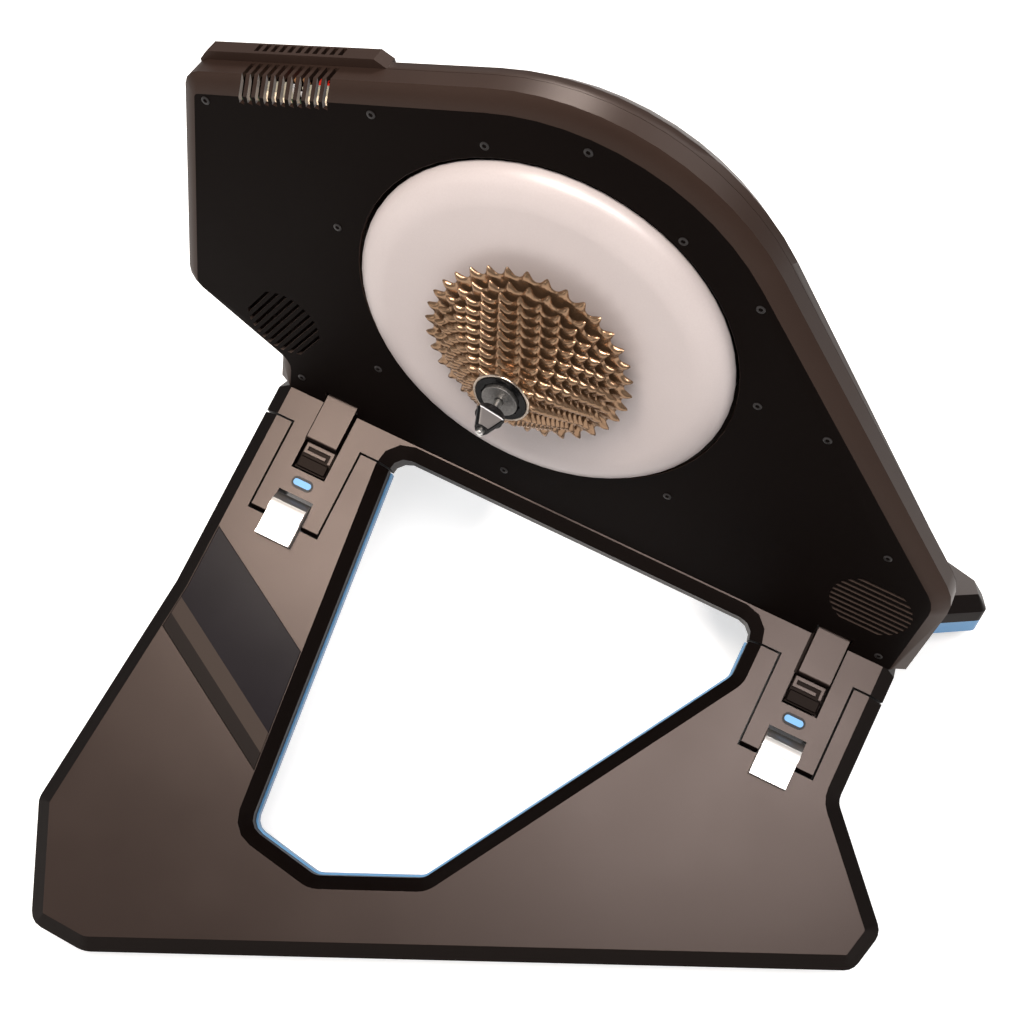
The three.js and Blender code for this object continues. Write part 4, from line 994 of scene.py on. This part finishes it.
# %% Screw tree
HEAD_OUT = (0, 1, 1, 0.84, 0, 0, 0)
SOCKET_OUT = (0, 0, 0, 0, 1, 1, 0)
HEAD_RISE = (0, 0, 0.7, 1, 1, 0.2, 0.2)
HEAD_COLUMNS = 24
SIXTH = math.pi / 3

recipe, given = shape_tree("screws", ("Radius", "Socket", "Height", "Sunk"))
grid, around, along = polar_grid(recipe, HEAD_COLUMNS, len(HEAD_OUT))
angle = around * (2 * math.pi)
six_sided = math.cos(SIXTH / 2) / (angle.apply("MODULO", SIXTH) - SIXTH / 2).apply("COSINE")
radius = given["Radius"] * lookup(recipe, along, HEAD_OUT)
radius = radius + given["Socket"] * six_sided * lookup(recipe, along, SOCKET_OUT)
level = given["Sunk"] - (given["Height"] + given["Sunk"]) * lookup(recipe, along, HEAD_RISE)
head = around_axle(recipe, grid, angle, radius, level)
screws = recipe.node(
    "GeometryNodeInstanceOnPoints", {}, {"Points": given["Geometry"], "Instance": head}
)
end_tree(recipe, screws, given)
screw_recipe = recipe
print("screw tree", len(recipe.tree.nodes), "nodes")

# %% Screws in the housing
FACE = -2
FAR_FACE = 46
FACE_SCREWS = (
    (-243, 65), (-132, 111), (-60, 125), (0, 152), (66, 120), (121, 96), (-147, 9), (-107, -108),
    (-165, -156), (-2, -153), (112, -100), (142, 20), (189, 18), (258, -61), (289, -163),
)
FAR_SCREWS = ((-228, 50), (-100, 104), (40, 132), (134, 58), (236, -66), (-140, -60), (60, -150))
screw_sizes = {"Radius": 2.9, "Socket": 1.6, "Height": 0.6, "Sunk": 0.3, "Material": screw_black}
turned_round = housing @ Matrix.Rotation(math.pi, 4, "Z")


def screw_group(name, place, points):
    from_tree(name, screw_recipe, screw_sizes, place, "stand", points)


screw_group("drive_side_screws", housing, [(x, FACE, z) for x, z in FACE_SCREWS])
screw_group("far_side_screws", turned_round, [(-x, -FAR_FACE, z) for x, z in FAR_SCREWS])
print("screws", len(FACE_SCREWS) + len(FAR_SCREWS))

# %% [markdown]
# ## Turned and cut parts
# A few small parts finish the hinges and the axle. A profile turned about the axle gives the round
# end of the skewer and the bright ring behind the lockring. A plate with cut-outs, grown from a grid
# of cells, gives the bracket under each right release lever.

# %% A new piece
MERGE_MM = 0.001


def new_piece(name, work, place, material, body, width):
    """A piece from a shape in the millimetres of a place, with its edges rounded to a width."""
    mesh = bpy.data.meshes.new(name)
    bmesh.ops.remove_doubles(work, verts=work.verts, dist=MERGE_MM)
    bmesh.ops.recalc_face_normals(work, faces=work.faces)
    work.to_mesh(mesh)
    work.free()
    mesh.transform(place)
    mesh.materials.append(material)
    piece = bpy.data.objects.new(name, mesh)
    scene.collection.objects.link(piece)
    soften(piece, width)
    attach(piece, body)
    return piece


def join_loops(work, loops):
    """Faces from each loop of points to the next, and from the last back to the first."""
    for one, two in zip(loops, loops[1:] + loops[:1]):
        count = len(one)
        for k in range(count):
            work.faces.new((one[k], one[(k + 1) % count], two[(k + 1) % count], two[k]))


print("small parts ready")

# %% Skewer end and bright ring
ROD_END = (
    (0.01, -90), (2.6, -90), (2.6, -94.6), (2.35, -95.6), (1.7, -96.4), (0.8, -96.8), (0.01, -96.9)
)
BRIGHT_RING = ((17.3, -63.6), (18.6, -63.6), (19.0, -64.1), (18.6, -64.7), (17.3, -64.7))


def turned_work(profile, steps):
    """A closed profile of radius and level, turned about the axle."""
    work = bmesh.new()
    rings = []
    for k in range(steps):
        angle = 2 * math.pi * k / steps
        rings.append([
            work.verts.new((radius * math.cos(angle), level, radius * math.sin(angle)))
            for radius, level in profile
        ])
    join_loops(work, rings)
    return work


work = turned_work(ROD_END, 40)
new_piece("skewer_round_end", work, housing, bright_thread, "quick_release", 0.1)
work = turned_work(BRIGHT_RING, 64)
new_piece("cassette_bright_ring", work, housing, ring_steel, "cassette", 0.15)
print("turned parts", 2)

# %% [markdown]
# In the pocket of each right release lever a painted bracket with a step shows, above a black
# thumb pad. The bracket is drawn with signs: rows of cells from the top, where # is metal. The
# columns and rows say where the cells begin and end, in millimetres from the middle of the hinge.

# %% Brackets and thumb pads
HINGES = {"rear": -132, "front": 256}
BRACKET_COLUMNS = (-11.2, -8.8, -6.0, 6.6, 8.8, 11.2)
BRACKET_ROWS = (62.2, 59.4, 56.6, 54.0, 52.6)
BRACKET_CELLS = (
    "#####",
    "#...#",
    "###.#",
    "....#",
)
PAD_COLUMNS = (-11.4, 11.4)
PAD_ROWS = (51.6, 43.0)
TAB_FACE = -3.5
SUNK = 0.4
BRACKET_RISE = 1.6
PAD_RISE = 3.2


def cells_work(columns, rows, filled, low, high):
    """A flat plate of the cells that a picture of # signs fills, with rows from the top."""
    work = bmesh.new()
    verts = {}

    def corner(i, j):
        if (i, j) not in verts:
            verts[i, j] = work.verts.new((columns[i], rows[j], low))
        return verts[i, j]

    for j, line in enumerate(filled):
        for i, sign in enumerate(line):
            if sign == "#":
                work.faces.new((corner(i, j), corner(i + 1, j), corner(i + 1, j + 1), corner(i, j + 1)))
    grown = bmesh.ops.extrude_face_region(work, geom=work.faces[:])
    raised = [part for part in grown["geom"] if isinstance(part, bmesh.types.BMVert)]
    bmesh.ops.translate(work, verts=raised, vec=(0, 0, high - low))
    return work


def add_bracket(at_end, at_hinge, body):
    low = TAB_FACE - SUNK
    work = cells_work(BRACKET_COLUMNS, BRACKET_ROWS, BRACKET_CELLS, low, TAB_FACE + BRACKET_RISE)
    new_piece(f"{at_end}_bracket", work, at_hinge, wing_paint, body, 0.25)
    work = cells_work(PAD_COLUMNS, PAD_ROWS, "#", low, TAB_FACE + PAD_RISE)
    new_piece(f"{at_end}_thumb_pad", work, at_hinge, rim_paint_and_shade, body, 0.8)


print("bracket cells", "".join(BRACKET_CELLS).count("#"))

# %% [markdown]
# Beside each lever a thin dark strip runs up the skirt, where the lever's pocket ends: a painted
# shadow of the gap there. Round each blue mark lies a raised black frame with two round ends. On the
# left side the marks stand crosswise, a little off the middle of the hinge.

# %% Seam shadows and mark frames
SEAM_SHADOW_COLUMNS = (-14.2, -12.1)
SEAM_SHADOW_ROWS = (97, 63)
SEAM_SHADOW_LEVELS = (-0.3, 0.1)
FRAME_INSIDE = (7.0, 2.4)
FRAME_OUTSIDE = (8.4, 4.3)
FRAME_LEVELS = (-0.3, 0.62)
OUTLINE_STEPS = 24
RIGHT_MARK = Matrix.Translation((0, 32, 0))
LEFT_MARK = Matrix.Translation((20, 35, 0)) @ Matrix.Rotation(math.pi / 2, 4, "Z")


def pill_loop(work, half_length, half_width, level):
    """Points round a bar with two round ends, along x."""
    loop = []
    for k in range(OUTLINE_STEPS):
        angle = 2 * math.pi * (k + 0.5) / OUTLINE_STEPS
        shift = math.copysign(half_length - half_width, math.cos(angle))
        x = shift + half_width * math.cos(angle)
        loop.append(work.verts.new((x, half_width * math.sin(angle), level)))
    return loop


def add_seam_shadow_and_frame(at_end, at_hinge, mark):
    work = cells_work(SEAM_SHADOW_COLUMNS, SEAM_SHADOW_ROWS, "#", *SEAM_SHADOW_LEVELS)
    new_piece(f"{at_end}_lever_seam_shadow", work, at_hinge, rim_paint_and_shade, "stand", 0.05)
    low, high = FRAME_LEVELS
    work = bmesh.new()
    join_loops(work, [
        pill_loop(work, *FRAME_INSIDE, low),
        pill_loop(work, *FRAME_OUTSIDE, low),
        pill_loop(work, *FRAME_OUTSIDE, high),
        pill_loop(work, *FRAME_INSIDE, high),
    ])
    at_mark = at_hinge @ mark
    new_piece(f"{at_end}_mark_frame", work, at_mark, mark_frame_black, "stand", 0.08)


for side, sign in SIDES.items():
    for end, hinge_x in HINGES.items():
        at_end = f"{side}_{end}"
        at_hinge = (
            plates[side] @ Matrix.Translation((hinge_x, 0, 0)) @ Matrix.Diagonal((1, sign, 1, 1))
        )
        if side == "right":
            add_bracket(at_end, at_hinge, nodes[f"{at_end}_release_lever"]["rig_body"])
        add_seam_shadow_and_frame(at_end, at_hinge, RIGHT_MARK if side == "right" else LEFT_MARK)
print("mark frames", len(SIDES) * len(HINGES))

# %% [markdown]
# ## Behind the roof vent
# Through the slots one sees the tops of the capacitors, plugs, cans and coils on the board. They
# are blocks with well rounded edges, placed in a frame along the roof line: x runs forwards along
# the roof, y is the depth behind the drive side's face and z points out of the roof. Each block is
# given by its middle and length along the roof, its near and far depth, and its low and high end.

# %% Blocks behind the vent
ROOF_TURN = math.radians(-23.5)
roof = housing @ Matrix.Rotation(ROOF_TURN, 4, "Y")


def vent_parts(name, boxes, material, width):
    work = bmesh.new()
    for middle, length, near, far, low, high in boxes:
        made = bmesh.ops.create_cube(work, size=1)["verts"]
        bmesh.ops.scale(work, verts=made, vec=(length, far - near, high - low))
        bmesh.ops.translate(work, verts=made, vec=(middle, (near + far) / 2, (low + high) / 2))
    new_piece(name, work, roof, material, "stand", width)


print("roof line turned by", round(math.degrees(ROOF_TURN), 1), "degrees")

# %% Capacitors, plugs, cans and coils
CAP_TOPS = (
    (-158.8, 157.0), (-152.0, 156.4), (-145.4, 153.4),
    (-128.0, 155.0), (-120.9, 155.8), (-114.6, 155.8),
)
CREAM_CAPS = [(middle, 5.4, 7.8, 12.2, 148.3, high) for middle, high in CAP_TOPS]
GREY_CAPS = ((-156.5, 20.0, 17.5, 21.5, 143.5, 157.3), (-127.0, 20.0, 17.5, 21.5, 143.5, 156.4))
RED_PLUGS = ((-126.9, 8.2, 24.5, 28.0, 151.2, 153.6), (-126.9, 8.2, 24.5, 28.0, 154.8, 157.4))
TIN_CANS = ((-143.6, 3.6, 17.5, 20.5, 150.6, 157.3), (-139.0, 2.6, 17.5, 19.5, 149.0, 153.0))
COPPER_TURNS = ((-148.6, 3.4, 28.5, 31.5, 150.0, 157.4), (-141.8, 3.4, 28.5, 31.5, 150.0, 157.4))

vent_parts("vent_cream_caps", CREAM_CAPS, cream_plastic, 1.4)
vent_parts("vent_grey_caps", GREY_CAPS, grey_plastic, 0.6)
vent_parts("vent_red_plugs", RED_PLUGS, red_plastic, 0.3)
vent_parts("vent_tin_cans", TIN_CANS, tin_can, 1.0)
vent_parts("vent_copper_turns", COPPER_TURNS, copper_wire, 0.6)
print("blocks", sum(map(len, (CREAM_CAPS, GREY_CAPS, RED_PLUGS, TIN_CANS, COPPER_TURNS))))

# %% [markdown]
# The pieces deep inside hardly show unless the trainer is taken apart. Their CAD shapes are right
# as they are, so they stay and only get a finish.

# %% Finishes of the pieces inside
# The capacitors and the connector on the board take the vent's plastics, with their painted glow.
plain_finishes = {
    "front_bearing": knuckle_steel,
    "rear_bearing": knuckle_steel,
    "stator_core": dark_steel,
    "rotor_magnet_ring": magnet_plate,
    "control_board": board_green,
    "board_capacitors": cream_plastic,
    "board_connector": red_plastic,
}
for node, material in plain_finishes.items():
    nodes[node].data.materials.clear()
    nodes[node].data.materials.append(material)
print("inside pieces", len(plain_finishes))

# %% [markdown]
# ## Floor and light
# The floor is plain and pale. A camera ray sees it brighter than it is lit, and mirrored rays and
# rays through glass see a weaker glow, so that it ends up white without more light on the trainer.
# It keeps the trainer's shadow. It lies a hair below the feet, so that no two faces share a place.

# %% Floor
FLOOR_HALF_SIZE = 12
FLOOR_DROP = 0.0005
FLOOR_GREY = (0.8, 0.8, 0.8, 1)
GLOW_GREY = (0.35, 0.35, 0.35, 1)
CAMERA_GLOW = 1.7

floor_mesh = bpy.data.meshes.new("floor")
work = bmesh.new()
bmesh.ops.create_grid(work, x_segments=1, y_segments=1, size=FLOOR_HALF_SIZE)
bmesh.ops.translate(work, verts=work.verts, vec=(0, 0, -FLOOR_DROP))
work.to_mesh(floor_mesh)
work.free()
floor = bpy.data.objects.new("floor", floor_mesh)
scene.collection.objects.link(floor)
floor_material, recipe = material_recipe("pale_floor")
path = recipe.node("ShaderNodeLightPath", output="Is Camera Ray")
mirrored = recipe.node("ShaderNodeLightPath", output="Is Glossy Ray")
through = recipe.node("ShaderNodeLightPath", output="Is Transmission Ray")
seen = path * CAMERA_GLOW + mirrored + through
matt = recipe.node("ShaderNodeBsdfDiffuse", {}, {"Color": FLOOR_GREY})
glow = recipe.node("ShaderNodeEmission", {}, {"Color": GLOW_GREY, "Strength": seen})
both = recipe.node("ShaderNodeAddShader", {}, {0: matt, 1: glow})
recipe.node("ShaderNodeOutputMaterial", {}, {"Surface": both})
floor_mesh.materials.append(floor_material)
print("floor", FLOOR_HALF_SIZE * 2, "metres wide")

# %% [markdown]
# An even white sky lights the trainer weakly from everywhere, and a camera ray that misses the
# floor sees plain white.

# %% Sky
SKY_STRENGTH = 0.3
WHITE = (1, 1, 1, 1)

world = bpy.data.worlds.new("studio")
scene.world = world
world.use_nodes = True
recipe = Recipe(world.node_tree)
sky = recipe.node("ShaderNodeBackground", {}, {"Color": WHITE, "Strength": SKY_STRENGTH})
white = recipe.node("ShaderNodeBackground", {}, {"Color": WHITE, "Strength": 1.0})
path = recipe.node("ShaderNodeLightPath", output="Is Camera Ray")
mixed = recipe.node("ShaderNodeMixShader", {}, {0: path, 1: sky, 2: white})
recipe.node("ShaderNodeOutputWorld", {}, {"Surface": mixed})
print("sky strength", SKY_STRENGTH)

# %% [markdown]
# Six soft lamps do the rest, all slightly warm but the last. The top lamp stands high in front on
# the drive side and lights the wings. The near lamp gives the disc its bright upper edge, and the
# line lamp grazes the housing's roof from the far side, so that its bevels show as lines. The rear
# lamp warms the wing's rear arm, the low lamp fills the drive side from behind, and the far lamp
# lights the far side. The view transform stays plain, so colours come out as they are written.

# %% Lamps
def soft_lamp(name, place, target, size, power, colour=(1, 1, 1)):
    """A rectangular lamp at a place, turned to a target: all in metres, with its power in watts."""
    data = bpy.data.lights.new(name, "AREA")
    data.shape = "RECTANGLE"
    data.size, data.size_y = size
    data.energy = power
    data.color = colour
    lamp = bpy.data.objects.new(name, data)
    lamp.location = place
    lamp.rotation_euler = (Vector(target) - Vector(place)).to_track_quat("-Z", "Y").to_euler()
    scene.collection.objects.link(lamp)


soft_lamp("top_lamp", (0.78, -0.98, 2.35), (0.1, -0.1, 0.2), (0.9, 0.55), 32, (1, 0.95, 0.93))
soft_lamp("near_lamp", (-0.1, -0.5, 1.3), (0, -0.05, 0.4), (0.25, 0.25), 6, (1, 0.9, 0.83))
soft_lamp("line_lamp", (-0.35, 1.2, 1.55), (0, 0, 0.45), (0.4, 0.4), 20, (1, 0.92, 0.87))
soft_lamp("rear_lamp", (-0.3, -0.7, 2.3), (-0.2, -0.2, 0.2), (0.5, 0.66), 19, (1, 0.88, 0.76))
soft_lamp("low_lamp", (-1.5, -1.75, 1.2), (0, 0, 0.35), (1.2, 0.9), 5, (1, 0.93, 0.88))
soft_lamp("far_lamp", (1.0, 2.0, 1.8), (0, 0, 0.3), (1.4, 1.2), 20)
scene.view_settings.view_transform = "Standard"
print("lamps", len(bpy.data.lights))
